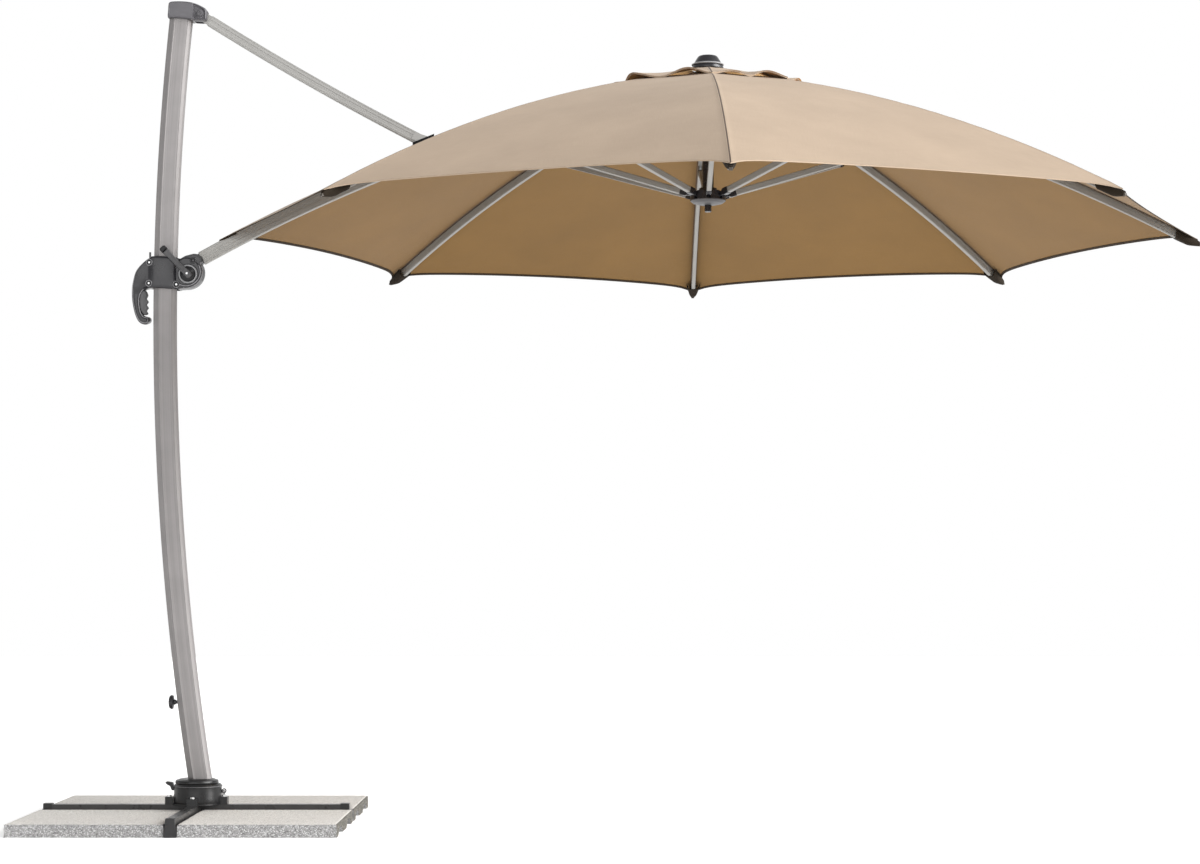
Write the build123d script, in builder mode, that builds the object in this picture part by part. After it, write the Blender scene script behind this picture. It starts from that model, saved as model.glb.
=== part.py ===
"""Cantilever parasol on a slab-weighted cross base, in millimetres.

Frame: origin on the ground at the swivel axis, +X towards the canopy, +Z up.
A curved mast turns in a pot on the cross base.  A slider runs on the mast and
carries the long arm; the strut hangs from the bracket at the mast's top and
meets the arm above its middle.  The arm is also the eighth rib of the canopy.
"""

from build123d import *
from math import sin, cos, tan, asin, atan2, sqrt, radians, degrees, pi
import os

os.makedirs("parts", exist_ok=True)

# ---------------------------------------------------------------- dimensions
SLAB = 500.0            # side of one paving slab
SLAB_T = 42.0           # slab thickness
GAP = 40.0              # gap between slabs, where the rails run
RAIL_W = 30.0
RAIL_TOP = 58.0
RAIL_L = 504.0          # half length of a rail
POT_R = 77.0
POT_TOP = 117.0
COLLAR_TOP = 134.0

MAST_C = (9712.5, 1737.8)   # centre of the mast's arc in XZ
MAST_R = 9832.8
MAST_X = 75.0               # mast depth, in the plane of the arm
MAST_Y = 58.0               # mast width, across it
MAST_TOP = 2738.0

P = (-6.0, 2702.0)          # strut pivot on the top bracket
Q = (795.0, 2268.0)         # strut to arm pivot
S = (-38.0, 1866.0)         # arm to slider pivot
LOBE = (-46.0, 1829.0)      # centre of the slider's round lobe
LEVER = (-40.0, 1821.0)     # lock lever pivot

HUB_X = 1700.0              # canopy axis
CAN_C = (-941.4, -2860.3)   # centre of the rib arcs in (radius, z) from that axis
R_FAB = 5450.0              # fabric middle surface
R_TIP = 1640.0              # fabric corner radius
R_VENT = 240.0              # vent opening in the main canopy
FAB_T = 1.0
RIB_H, RIB_W = 27.0, 15.0
R_RIB = R_FAB - 5.0         # top of a rib
ARM_H, ARM_W = 45.0, 26.0
HINGE_R = 50.0              # rib and brace pivots from the canopy axis
HINGE_Z = 2476.0
LOW_Z = 2086.0
MID_Z = (HINGE_Z + LOW_Z) / 2     # brace to rib pivots, at rest
MID_R = 722.0
ARM_UP = 5.0                # the arm's own three pivots sit this much higher
STRUT_H, STRUT_W = 36.0, 28.0
STRUT_R = 9560.0

XZ = Plane(origin=(0, 0, 0), x_dir=(1, 0, 0), z_dir=(0, -1, 0))   # local (x, z), normal towards -Y


def canopy_z(r, radius):
    """Height at distance r from the canopy axis on the arc of that radius."""
    return CAN_C[1] + sqrt(radius**2 - (r - CAN_C[0]) ** 2)


def mast_x(z, off=0.0):
    """X of the mast's centre line at height z; off moves it towards +X."""
    return MAST_C[0] - sqrt((MAST_R - off) ** 2 - (z - MAST_C[1]) ** 2)


def rib_plane(angle):
    """Upright plane through the canopy axis: local x outwards, local y up."""
    c, s = cos(radians(angle)), sin(radians(angle))
    return Plane(origin=(HUB_X, 0, 0), x_dir=(c, s, 0), z_dir=(s, -c, 0))


def band(plane, centre, r_out, r_in, a0, a1):
    """Face between two concentric arcs, angles in degrees."""
    with BuildSketch(plane) as sk:
        with BuildLine():
            o = CenterArc(centre, r_out, a0, a1 - a0)
            i = CenterArc(centre, r_in, a0, a1 - a0)
            Line(o @ 0, i @ 0)
            Line(o @ 1, i @ 1)
        make_face()
    return sk.sketch


def outline(plane, points):
    """Closed face through the points, straight sides."""
    with BuildSketch(plane) as sk:
        with BuildLine():
            Polyline(*points, close=True)
        make_face()
    return sk.sketch


def disc(plane, centre, r):
    with BuildSketch(plane) as sk:
        with Locations(centre):
            Circle(r)
    return sk.sketch


def write(builder, name):
    builder.part.label = name
    export_step(builder.part, f"parts/{name}.step")


# ---------------------------------------------------------------- base
# Rails: box sections crossing under the pot, the second one in two halves.
with BuildPart() as rail_long:
    with BuildSketch(Plane.YZ.offset(-RAIL_L)):
        with Locations((0, RAIL_TOP / 2)):
            Rectangle(RAIL_W, RAIL_TOP)
            Rectangle(RAIL_W - 4, RAIL_TOP - 4, mode=Mode.SUBTRACT)
    extrude(amount=2 * RAIL_L)
write(rail_long, "rail_long")

with BuildPart() as rail_short:
    for side in (-1, 1):
        with BuildSketch(Plane.XZ.offset(-side * (RAIL_W / 2 + 0.5))):
            with Locations((0, RAIL_TOP / 2)):
                Rectangle(RAIL_W, RAIL_TOP)
                Rectangle(RAIL_W - 4, RAIL_TOP - 4, mode=Mode.SUBTRACT)
        extrude(amount=-side * (RAIL_L - RAIL_W / 2 - 0.5))
write(rail_short, "rail_short")

# Caps plug the four rail ends: narrower at the top, with a keyhole in the top face.
with BuildPart() as rail_end_caps:
    for n in range(4):
        a = 90 * n
        c, s = cos(radians(a)), sin(radians(a))
        pl = Plane(origin=(c * (RAIL_L + 0.1), s * (RAIL_L + 0.1), 0), x_dir=(-s, c, 0), z_dir=(c, s, 0))
        extrude(to_extrude=outline(pl, [(-19.5, 0), (19.5, 0), (18.5, 20), (14.0, RAIL_TOP + 1), (-14.0, RAIL_TOP + 1), (-18.5, 20)]), amount=20)
        with BuildSketch(pl):
            with Locations((0, RAIL_TOP / 2)):
                Rectangle(RAIL_W - 4.4, RAIL_TOP - 4.4)
        extrude(amount=-25)
    with BuildSketch(Plane.XY.offset(RAIL_TOP + 1)):
        with PolarLocations(RAIL_L + 11, 4):
            SlotOverall(11, 6, rotation=90)
    extrude(amount=-12, mode=Mode.SUBTRACT)
write(rail_end_caps, "rail_end_caps")

# Four square slabs with eased edges; the right-hand pair has two shallow hand recesses under its outer side.
for name, sx, sy in (("slab_front_left", -1, -1), ("slab_front_right", 1, -1), ("slab_rear_left", -1, 1), ("slab_rear_right", 1, 1)):
    cx, cy = sx * (GAP + SLAB) / 2, sy * (GAP + SLAB) / 2
    with BuildPart() as slab:
        with BuildSketch(Plane.XY):
            with Locations((cx, cy)):
                RectangleRounded(SLAB, SLAB, 4)
        extrude(amount=SLAB_T)
        chamfer(slab.edges().group_by(Axis.Z)[-1], 2.5)
        if sx > 0:
            with Locations(*[Location((GAP / 2 + SLAB, cy + off, -56), (0, 90, 0)) for off in (-125, 125)]):
                Cylinder(70, 70, mode=Mode.SUBTRACT)
    write(slab, name)

# Cross foot: a plate on the rails with four sockets that hold them.
with BuildPart() as cross_foot:
    with BuildSketch(Plane.XY.offset(RAIL_TOP)):
        Circle(80)
        Rectangle(2 * 103, 35)
        Rectangle(35, 2 * 103)
    extrude(amount=5)
    with BuildSketch(Plane.XY.offset(RAIL_TOP + 5)):
        with PolarLocations(90.5, 4):
            Rectangle(25, 35)
    extrude(amount=20)
    with BuildSketch(Plane.XY.offset(RAIL_TOP)):
        with PolarLocations(92, 4):
            Circle(4.2)
    extrude(amount=30, mode=Mode.SUBTRACT)
    with BuildSketch(Plane.XY.offset(RAIL_TOP + 5)):
        Circle(79)
    extrude(amount=60, mode=Mode.SUBTRACT)
write(cross_foot, "cross_foot")

with BuildPart() as foot_bolts:
    with BuildSketch(Plane.XY.offset(RAIL_TOP)):
        with PolarLocations(92, 4):
            Circle(4)
    extrude(amount=25)
    with BuildSketch(Plane.XY.offset(RAIL_TOP + 25)):
        with PolarLocations(92, 4):
            RegularPolygon(7.5, 6)
    extrude(amount=5)
write(foot_bolts, "foot_bolts")

# Pot: a short barrel with a slightly drawn-in top, open inside for the turning socket.
with BuildPart() as pot_housing:
    with BuildSketch(Plane.XZ):
        with BuildLine():
            Polyline((0, 63), (POT_R, 63), (POT_R + 1, 68), (POT_R, 108), (POT_R - 2.5, 114), (POT_R - 6, POT_TOP), (62, POT_TOP), (62, 72), (0, 72), close=True)
        make_face()
    revolve(axis=Axis.Z)
    # windows for the pedal on one side and the lock pin on the other
    with Locations((-70, 0, 112)):
        Box(20, 22, 24, mode=Mode.SUBTRACT)
    with Locations(Location((70, 0, 100), (0, 90, 0))):
        Cylinder(4.05, 30, mode=Mode.SUBTRACT)
    with Locations(Location((-67, 0, 109), (90, 0, 0))):
        Cylinder(2.55, 40, mode=Mode.SUBTRACT)
write(pot_housing, "pot_housing")

# Foot pedal: a pointed toe plate on a rocker, turning on a cross pin.
with BuildPart() as foot_pedal:
    extrude(to_extrude=outline(XZ, [(-104, 129), (-98, 123), (-88, 118), (-82, 104), (-64, 103.5), (-64, 112), (-75, 113.5), (-80, 130), (-100, 133)]), amount=10, both=True)
    with Locations(Location((-67, 0, 109), (90, 0, 0))):
        Cylinder(2.5, 36)
write(foot_pedal, "foot_pedal")

# Lock pin with a pull ring.
with BuildPart() as lock_pin:
    with Locations(Location((75, 0, 100), (0, 90, 0))):
        Cylinder(4, 22)
    with BuildSketch(Plane.XZ):
        with Locations((90, 102)):
            Circle(8)
            Circle(4.6, mode=Mode.SUBTRACT)
    extrude(amount=2.2, both=True)
write(lock_pin, "lock_pin")

# ---------------------------------------------------------------- mast
with BuildPart() as turntable:
    with BuildSketch(Plane.XZ):
        with BuildLine():
            Polyline((0, 72.3), (61.7, 72.3), (61.7, POT_TOP + 0.4), (70, POT_TOP + 0.4), (71, 122), (69, 129), (64, 132.5), (55, COLLAR_TOP), (0, COLLAR_TOP), close=True)
        make_face()
    revolve(axis=Axis.Z)
    # pocket for the mast's foot
    foot = [(MAST_C[0] + r * cos(radians(t)), MAST_C[1] + r * sin(radians(t))) for r, t in ((MAST_R + MAST_X / 2 + 0.2, 189.62), (MAST_R - MAST_X / 2 - 0.2, 189.62), (MAST_R - MAST_X / 2 - 0.2, 189.3), (MAST_R + MAST_X / 2 + 0.2, 189.3))]
    extrude(to_extrude=outline(XZ, foot), amount=MAST_Y / 2 + 0.1, both=True, mode=Mode.SUBTRACT)
    with Locations(Location((58, 0, 100), (0, 90, 0))):
        Cylinder(4.2, 14, mode=Mode.SUBTRACT)
    with Locations((-58, 0, 110)):
        Box(14, 22, 20, mode=Mode.SUBTRACT)
write(turntable, "turntable")

A_TOP = 180 - degrees(asin((MAST_TOP - MAST_C[1]) / MAST_R))
with BuildPart() as mast_core:
    extrude(to_extrude=band(XZ, MAST_C, MAST_R + MAST_X / 2 - 3, MAST_R - MAST_X / 2 + 3, 189.7, A_TOP - 0.1), amount=MAST_Y / 2 - 3, both=True)
    fillet(mast_core.edges().filter_by(GeomType.CIRCLE).filter_by(lambda e: e.length > 1000), 8)
with BuildPart() as mast_tube:
    extrude(to_extrude=band(XZ, MAST_C, MAST_R + MAST_X / 2, MAST_R - MAST_X / 2, 189.6, A_TOP), amount=MAST_Y / 2, both=True)
    fillet(mast_tube.edges().filter_by(GeomType.CIRCLE).filter_by(lambda e: e.length > 1000), 11)
    add(mast_core.part, mode=Mode.SUBTRACT)
    # two shallow draw lines on each broad face
    for off in (-18.0, 20.0):
        for side in (-1, 1):
            pl = Plane(origin=(0, side * (MAST_Y / 2 - 0.8), 0), x_dir=(1, 0, 0), z_dir=(0, -1, 0))
            extrude(to_extrude=band(pl, MAST_C, MAST_R + off + 1.2, MAST_R + off - 1.2, 189.7, A_TOP - 0.1), amount=-side * 3, mode=Mode.SUBTRACT)
    # hole for the clamp knob's stem
    with Locations(Location((mast_x(395) - 36, 0, 395), (0, 90, 0))):
        Cylinder(6.0, 12, mode=Mode.SUBTRACT)
write(mast_tube, "mast_tube")

# Clamp knob on the mast's back: mushroom head on a stem.
KX = mast_x(395) - MAST_X / 2
with BuildPart() as mast_knob:
    with Locations(Location((KX, 0, 395), (0, 90, 0))):
        Cylinder(5.5, 16)
    with BuildSketch(Plane(origin=(KX, 0, 395), x_dir=(0, 0, 1), z_dir=(0, -1, 0))):
        with BuildLine():
            Polyline((0, 6), (8, 6), (9, 12), (22, 15), (24, 21), (21, 27), (12, 30), (0, 31), close=True)
        make_face()
    revolve(axis=Axis((KX, 0, 395), (1, 0, 0)))
write(mast_knob, "mast_knob")

# Top bracket: a band round the mast with a nose that forks round the strut.
with BuildPart() as top_bracket:
    extrude(to_extrude=outline(XZ, [(-117.5, 2690), (-114.5, 2738), (-110, 2746), (-40, 2749), (-26, 2746), (-24, 2684), (-40, 2682), (-114, 2688)]), amount=36, both=True)
    extrude(to_extrude=outline(XZ, [(-30, 2746), (-10, 2738), (4, 2728), (12, 2716), (13, 2690), (6, 2684), (-10, 2682), (-30, 2684)]), amount=28, both=True)
    fillet(top_bracket.edges().filter_by(Axis.Z, tolerance=8).group_by(Axis.X)[0], 7)
    extrude(to_extrude=band(XZ, MAST_C, MAST_R + MAST_X / 2, MAST_R - MAST_X / 2, A_TOP + 2, A_TOP - 0.01), amount=MAST_Y / 2, both=True, mode=Mode.SUBTRACT)
    with Locations((10, 0, 2712)):
        Box(70, 29, 90, mode=Mode.SUBTRACT)
    with Locations(Location((P[0], 0, P[1]), (90, 0, 0))):
        Cylinder(5, 80, mode=Mode.SUBTRACT)
write(top_bracket, "top_bracket")

with BuildPart() as strut_pivot_pin:
    with Locations(Location((P[0], 0, P[1]), (90, 0, 0))):
        Cylinder(5, 56.4)
        with Locations((0, 0, 30.2), (0, 0, -30.2)):
            Cylinder(9, 4)
write(strut_pivot_pin, "strut_pivot_pin")

with BuildPart() as bracket_screws:
    for z in (2702, 2732):
        for side in (-1, 1):
            with Locations(Location((-92, side * 37.5, z), (90, 0, 0))):
                Cylinder(5, 3)
write(bracket_screws, "bracket_screws")

# ---------------------------------------------------------------- strut
# The strut's centre line is a very flat arc, sagging below the straight line between its ends.
s0, s1 = (-6.0, 2700.0), (780.0, 2252.5)
sm = ((s0[0] + s1[0]) / 2, (s0[1] + s1[1]) / 2)
sl = sqrt((s1[0] - s0[0]) ** 2 + (s1[1] - s0[1]) ** 2)
sn = (-(s1[1] - s0[1]) / sl, (s1[0] - s0[0]) / sl)          # points up and to the right
sd = sqrt(STRUT_R**2 - (sl / 2) ** 2)
STRUT_C = (sm[0] + sn[0] * sd, sm[1] + sn[1] * sd)


def strut_angle(x, z):
    return degrees(atan2(z - STRUT_C[1], x - STRUT_C[0]))


SA0 = strut_angle(24, 2682)
SA1 = strut_angle(758, 2268)
with BuildPart() as strut_tube:
    extrude(to_extrude=band(XZ, STRUT_C, STRUT_R + STRUT_H / 2, STRUT_R - STRUT_H / 2, SA0, SA1), amount=STRUT_W / 2, both=True)
    fillet(strut_tube.edges().filter_by(GeomType.CIRCLE).filter_by(lambda e: e.length > 500), 3)
    extrude(to_extrude=band(XZ, STRUT_C, STRUT_R + STRUT_H / 2 - 2.5, STRUT_R - STRUT_H / 2 + 2.5, SA0 - 0.2, SA1 + 0.2), amount=STRUT_W / 2 - 2.5, both=True, mode=Mode.SUBTRACT)
    for side in (-1, 1):
        pl = Plane(origin=(0, side * (STRUT_W / 2 - 1), 0), x_dir=(1, 0, 0), z_dir=(0, -1, 0))
        extrude(to_extrude=band(pl, STRUT_C, STRUT_R + 3.5, STRUT_R - 3.5, SA0 - 0.2, SA1 + 0.2), amount=-side * 3, mode=Mode.SUBTRACT)
write(strut_tube, "strut_tube")

with BuildPart() as strut_head:
    with Locations(Location((P[0], 0, P[1]), (90, 0, 0))):
        Cylinder(15, 27)
    extrude(to_extrude=band(XZ, STRUT_C, STRUT_R + 15.3, STRUT_R - 15.3, strut_angle(-2, 2698), strut_angle(60, 2662)), amount=11.3, both=True)
    with Locations(Location((P[0], 0, P[1]), (90, 0, 0))):
        Cylinder(5.06, 60, mode=Mode.SUBTRACT)
write(strut_head, "strut_head")

# Two ear plates carry the strut's lower pivot, on the upper edge of the tube.
with BuildPart() as strut_ears:
    for side in (-1, 1):
        pl = Plane(origin=(0, side * (STRUT_W / 2), 0), x_dir=(1, 0, 0), z_dir=(0, -1, 0))
        with BuildSketch(pl):
            with BuildLine():
                Polyline((716, 2301), (704, 2279), (774, 2242), (794, 2257), (795, 2268), (788, 2277), close=True)
            make_face()
            with Locations(Q):
                Circle(11)
                Circle(4.06, mode=Mode.SUBTRACT)
        extrude(amount=-side * 3)
write(strut_ears, "strut_ears")

# ---------------------------------------------------------------- arm
ARM_C = (HUB_X - CAN_C[0], CAN_C[1])
R_ARM = R_RIB


def arm_angle(x, r=R_RIB - ARM_H / 2):
    return 180 - degrees(asin(sqrt(1 - ((x - ARM_C[0]) / r) ** 2)))


AA0, AA1 = arm_angle(2), arm_angle(1600)
with BuildPart() as arm_tube:
    extrude(to_extrude=band(XZ, ARM_C, R_ARM, R_ARM - ARM_H, AA0, AA1), amount=ARM_W / 2, both=True)
    fillet(arm_tube.edges().filter_by(GeomType.CIRCLE).filter_by(lambda e: e.length > 1000), 3)
    extrude(to_extrude=band(XZ, ARM_C, R_ARM - 2.5, R_ARM - ARM_H + 2.5, AA0 + 0.2, AA1 - 0.2), amount=ARM_W / 2 - 3, both=True, mode=Mode.SUBTRACT)
    for side in (-1, 1):
        pl = Plane(origin=(0, side * (ARM_W / 2 - 1), 0), x_dir=(1, 0, 0), z_dir=(0, -1, 0))
        extrude(to_extrude=band(pl, ARM_C, R_ARM - 18, R_ARM - 27, AA0 + 0.2, AA1 - 0.2), amount=-side * 3, mode=Mode.SUBTRACT)
    # slot in the underside for the brace's head, and its pin hole
    with Locations((HUB_X - MID_R, 0, MID_Z + ARM_UP - 6)):
        Box(70, ARM_W - 6, 30, mode=Mode.SUBTRACT)
    with Locations(Location((HUB_X - MID_R, 0, MID_Z + ARM_UP), (90, 0, 0))):
        Cylinder(3, 60, mode=Mode.SUBTRACT)
write(arm_tube, "arm_tube")

# Root knuckle: a round eye between the slider's cheeks and a tongue inside the tube.
with BuildPart() as arm_root:
    with Locations(Location((S[0], 0, S[1]), (90, 0, 0))):
        Cylinder(19, 25)
    extrude(to_extrude=band(XZ, ARM_C, R_ARM - 4, R_ARM - ARM_H + 4, arm_angle(-36), arm_angle(2) - 0.0), amount=12.5, both=True)
    extrude(to_extrude=band(XZ, ARM_C, R_ARM - 3, R_ARM - ARM_H + 3, arm_angle(2), arm_angle(60)), amount=9.6, both=True)
    with Locations(Location((S[0], 0, S[1]), (90, 0, 0))):
        Cylinder(6.06, 60, mode=Mode.SUBTRACT)
write(arm_root, "arm_root")

# Hub end: a tongue as slim as a rib's, so that it fits the same slot.
HX = HUB_X - HINGE_R
with BuildPart() as arm_tip:
    with Locations(Location((HX, 0, HINGE_Z + ARM_UP), (90, 0, 0))):
        Cylinder(13, RIB_W)
    extrude(to_extrude=outline(XZ, [(HX - 2, HINGE_Z + ARM_UP + 13), (HX - 50, canopy_z(HINGE_R + 50, R_RIB - 5)), (HX - 50, canopy_z(HINGE_R + 50, R_RIB - ARM_H + 6)), (HX - 22, HINGE_Z - 14), (HX + 2, HINGE_Z + ARM_UP - 13)]), amount=RIB_W / 2, both=True)
    extrude(to_extrude=band(XZ, ARM_C, R_ARM - 3, R_ARM - ARM_H + 3, arm_angle(1560), arm_angle(1601)), amount=9.6, both=True)
    with Locations(Location((HX, 0, HINGE_Z + ARM_UP), (90, 0, 0))):
        Cylinder(3.56, 60, mode=Mode.SUBTRACT)
write(arm_tip, "arm_tip")

# Lug on top of the arm for the strut's pivot bolt.
with BuildPart() as pivot_lug:
    zt = lambda x: canopy_z(HUB_X - x, R_RIB)
    extrude(to_extrude=outline(XZ, [(773, zt(773) + 0.05), (784, Q[1] + 9), (791, Q[1] + 11), (799, Q[1] + 11), (806, Q[1] + 9), (822, zt(822) + 0.05)]), amount=13.4, both=True)
    with Locations(Location((Q[0], 0, Q[1]), (90, 0, 0))):
        Cylinder(4, 60, mode=Mode.SUBTRACT)
    extrude(to_extrude=band(XZ, ARM_C, R_ARM, R_ARM - 20, arm_angle(760), arm_angle(840)), amount=20, both=True, mode=Mode.SUBTRACT)
write(pivot_lug, "pivot_lug")

with BuildPart() as pivot_bolt:
    with Locations(Location((Q[0], 0, Q[1]), (90, 0, 0))):
        Cylinder(4, 34.8)
        with Locations((0, 0, 19.4), (0, 0, -19.4)):
            Cylinder(7.5, 4)
write(pivot_bolt, "pivot_bolt")

# ---------------------------------------------------------------- slider
# Two half shells meet on the plane of the arm; a hooked grip hangs from them.
BODY = [(-186, 1868), (-174, 1876), (-158, 1880), (-132, 1882), (-100, 1880), (-72, 1876), (-52, 1880), (-46, 1776), (-79, 1770), (-128, 1774), (-168, 1774), (-186, 1768), (-206, 1776), (-212, 1820), (-204, 1848)]
GRIP_OUT = [(-186, 1868), (-205, 1852), (-219, 1829), (-228, 1797), (-232, 1765), (-230, 1731), (-223, 1696), (-213, 1671), (-201, 1658), (-185, 1654), (-171, 1660), (-166, 1670), (-168, 1678), (-177, 1680)]
GRIP_IN = [(-190, 1684), (-199, 1702), (-203, 1731), (-200, 1752), (-186, 1768), (-180, 1790), (-180, 1840)]


def slider_half(side):
    """side -1 is the front half, towards -Y."""
    with BuildPart() as half:
        with BuildSketch(XZ):
            with BuildLine():
                Polyline(*BODY, close=True)
            make_face()
        extrude(amount=-side * 42)
        fillet(half.faces().sort_by(Axis.Y)[0 if side < 0 else -1].edges(), 7)
        # round lobe, slimmer than the body
        extrude(to_extrude=disc(XZ, LOBE, 57), amount=-side * 28)
        extrude(to_extrude=disc(XZ, LOBE, 55), amount=-side * 30)
        extrude(to_extrude=disc(XZ, LOBE, 52), amount=-side * 31)
        # hooked grip
        with BuildSketch(XZ):
            with BuildLine():
                l1 = Spline(*GRIP_OUT)
                l2 = Spline(*GRIP_IN)
                Line(l1 @ 1, l2 @ 0)
                Line(l2 @ 1, l1 @ 0)
            make_face()
        extrude(amount=-side * 15)
        # mast passage, wider than the mast on the arm's side
        extrude(to_extrude=band(XZ, MAST_C, MAST_R + MAST_X / 2 + 3, MAST_R - MAST_X / 2 - 8.6, 180.4, 178.6), amount=MAST_Y / 2 + 1.2, both=True, mode=Mode.SUBTRACT)
        # room for the arm's root and the tube as it swings up
        extrude(to_extrude=disc(XZ, S, 20), amount=14, both=True, mode=Mode.SUBTRACT)
        extrude(to_extrude=outline(XZ, [(-60, 1868), (-60, 1900), (60, 1900), (60, 1800), (6, 1800), (-22, 1832), (-45, 1846)]), amount=14, both=True, mode=Mode.SUBTRACT)
        # pocket for the trigger
        extrude(to_extrude=outline(XZ, [(-178, 1680), (-197, 1682), (-211, 1699), (-214, 1731), (-211, 1756), (-205, 1784), (-178, 1784)]), amount=10.5, both=True, mode=Mode.SUBTRACT)
        with Locations(Location((-192, 0, 1776), (90, 0, 0))):
            Cylinder(3.05, 27, mode=Mode.SUBTRACT)
        with Locations((-172, 0, 1886)):
            Box(6.4, 6.4, 30, mode=Mode.SUBTRACT)
        with Locations(Location((LEVER[0], -45, LEVER[1]), (90, 0, 0))):
            Cylinder(19.5, 27, mode=Mode.SUBTRACT)
        with Locations(Location((S[0], 0, S[1]), (90, 0, 0))):
            Cylinder(6, 70, mode=Mode.SUBTRACT)
        with Locations(Location((LEVER[0], 0, LEVER[1]), (90, 0, 0))):
            Cylinder(6.05, 70, mode=Mode.SUBTRACT)
        for x, z in ((-169, 1860), (-170, 1790), (-78, 1786)):
            with Locations(Location((x, side * 42, z), (90, 0, 0))):
                Cylinder(8.5, 14, mode=Mode.SUBTRACT)
            with Locations(Location((x, 0, z), (90, 0, 0))):
                Cylinder(3.0, 90, mode=Mode.SUBTRACT)
    return half


slider_shell_front = slider_half(-1)
write(slider_shell_front, "slider_shell_front")
slider_shell_rear = slider_half(1)
write(slider_shell_rear, "slider_shell_rear")

with BuildPart() as slider_screws:
    for x, z in ((-169, 1860), (-170, 1790), (-78, 1786)):
        with Locations(Location((x, 0, z), (90, 0, 0))):
            # the right one is short at each side, clear of the mast passage
            with Locations(*([(0, 0, 0)] if x < -100 else [(0, 0, 33.5), (0, 0, -33.5)])):
                Cylinder(2.95, 70 if x < -100 else 4)
            with Locations((0, 0, 36.5), (0, 0, -36.5)):
                Cylinder(6.5, 3)
write(slider_screws, "slider_screws")

with BuildPart() as arm_root_pin:
    with Locations(Location((S[0], 0, S[1]), (90, 0, 0))):
        Cylinder(6, 62)
        with Locations((0, 0, 33), (0, 0, -33)):
            Cylinder(9, 4)
write(arm_root_pin, "arm_root_pin")

with BuildPart() as latch_rod:
    with Locations((-172, 0, 1889)):
        Box(6, 6, 18)
    with Locations((-172, 0, 1876)):
        Box(6, 6, 8)
write(latch_rod, "latch_rod")

# Lock lever: round boss and a tapered paddle across the slider's front.
with BuildPart() as lock_lever:
    with Locations(Location((LEVER[0], -38, LEVER[1]), (90, 0, 0))):
        Cylinder(18, 13)
    dx, dz = -120 - LEVER[0], 1906 - LEVER[1]
    dl = sqrt(dx * dx + dz * dz)
    ux, uz = dx / dl, dz / dl
    nx, nz = -uz, ux
    pts = [(LEVER[0] + ux * a + nx * b, LEVER[1] + uz * a + nz * b) for a, b in ((-2, 9), (30, 8), (95, 11.5), (dl, 10), (dl + 3, 0), (dl, -10), (95, -11.5), (30, -8), (-2, -9))]
    pl = Plane(origin=(0, -44.5, 0), x_dir=(1, 0, 0), z_dir=(0, -1, 0))
    extrude(to_extrude=outline(pl, pts), amount=8)
    with Locations(Location((LEVER[0], -24, LEVER[1]), (90, 0, 0))):
        Cylinder(6, 20)
write(lock_lever, "lock_lever")

# Squeeze trigger with finger grooves, hinged at its top inside the grip.
with BuildPart() as grip_trigger:
    with BuildSketch(XZ):
        with BuildLine():
            g1 = Spline((-190, 1770), (-184, 1762), (-178, 1750), (-184, 1740), (-177, 1730), (-184, 1720), (-176, 1709), (-183, 1700), (-177, 1691), (-182, 1686))
            g2 = Spline((-182, 1686), (-192, 1688), (-203, 1704), (-207.5, 1731), (-205, 1754), (-197, 1772))
            Line(g2 @ 1, g1 @ 0)
        make_face()
    extrude(amount=10, both=True)
    with Locations(Location((-192, 0, 1776), (90, 0, 0))):
        Cylinder(7, 20)
        Cylinder(3, 26)
write(grip_trigger, "grip_trigger")

# ---------------------------------------------------------------- canopy hub
with BuildPart() as upper_hub:
    with BuildSketch(Plane(origin=(HUB_X, 0, 2458))):
        Circle(62)
    extrude(amount=36)
    fillet(upper_hub.edges().group_by(Axis.Z)[-1], 4)
    with BuildSketch(Plane(origin=(HUB_X, 0, 2494))):
        Circle(40)
    extrude(amount=14)
    with BuildSketch(Plane(origin=(HUB_X, 0, 2440))):
        with PolarLocations(53, 8):
            Rectangle(38, RIB_W + 0.8)
    extrude(amount=80, mode=Mode.SUBTRACT)
    with BuildSketch(Plane(origin=(HUB_X, 0, 2508))):
        Circle(34)
    extrude(amount=-20)
    for n in range(8):
        a = 45 * n
        up = ARM_UP if n == 4 else 0
        with Locations(Plane(origin=(HUB_X + HINGE_R * cos(radians(a)), HINGE_R * sin(radians(a)), HINGE_Z + up), z_dir=(-sin(radians(a)), cos(radians(a)), 0))):
            Cylinder(3.5, 30, mode=Mode.SUBTRACT)
write(upper_hub, "upper_hub")

with BuildPart() as hub_pins:
    for n in range(8):
        a = 45 * n
        up = ARM_UP if n == 4 else 0
        with Locations(Plane(origin=(HUB_X + HINGE_R * cos(radians(a)), HINGE_R * sin(radians(a)), HINGE_Z + up), z_dir=(-sin(radians(a)), cos(radians(a)), 0))):
            Cylinder(3.5, 23)
write(hub_pins, "hub_pins")

with BuildPart() as finial_cap:
    with BuildSketch(Plane(origin=(HUB_X, 0, 0), x_dir=(1, 0, 0), z_dir=(0, -1, 0))):
        with BuildLine():
            Polyline((0, 2508.2), (41, 2508.2), (41, 2513), (53, 2515), (53.5, 2520), (51, 2525), (34, 2557), (27, 2561.5), (0, 2562.5), close=True)
        make_face()
    revolve(axis=Axis((HUB_X, 0, 0), (0, 0, 1)))
write(finial_cap, "finial_cap")


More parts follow.
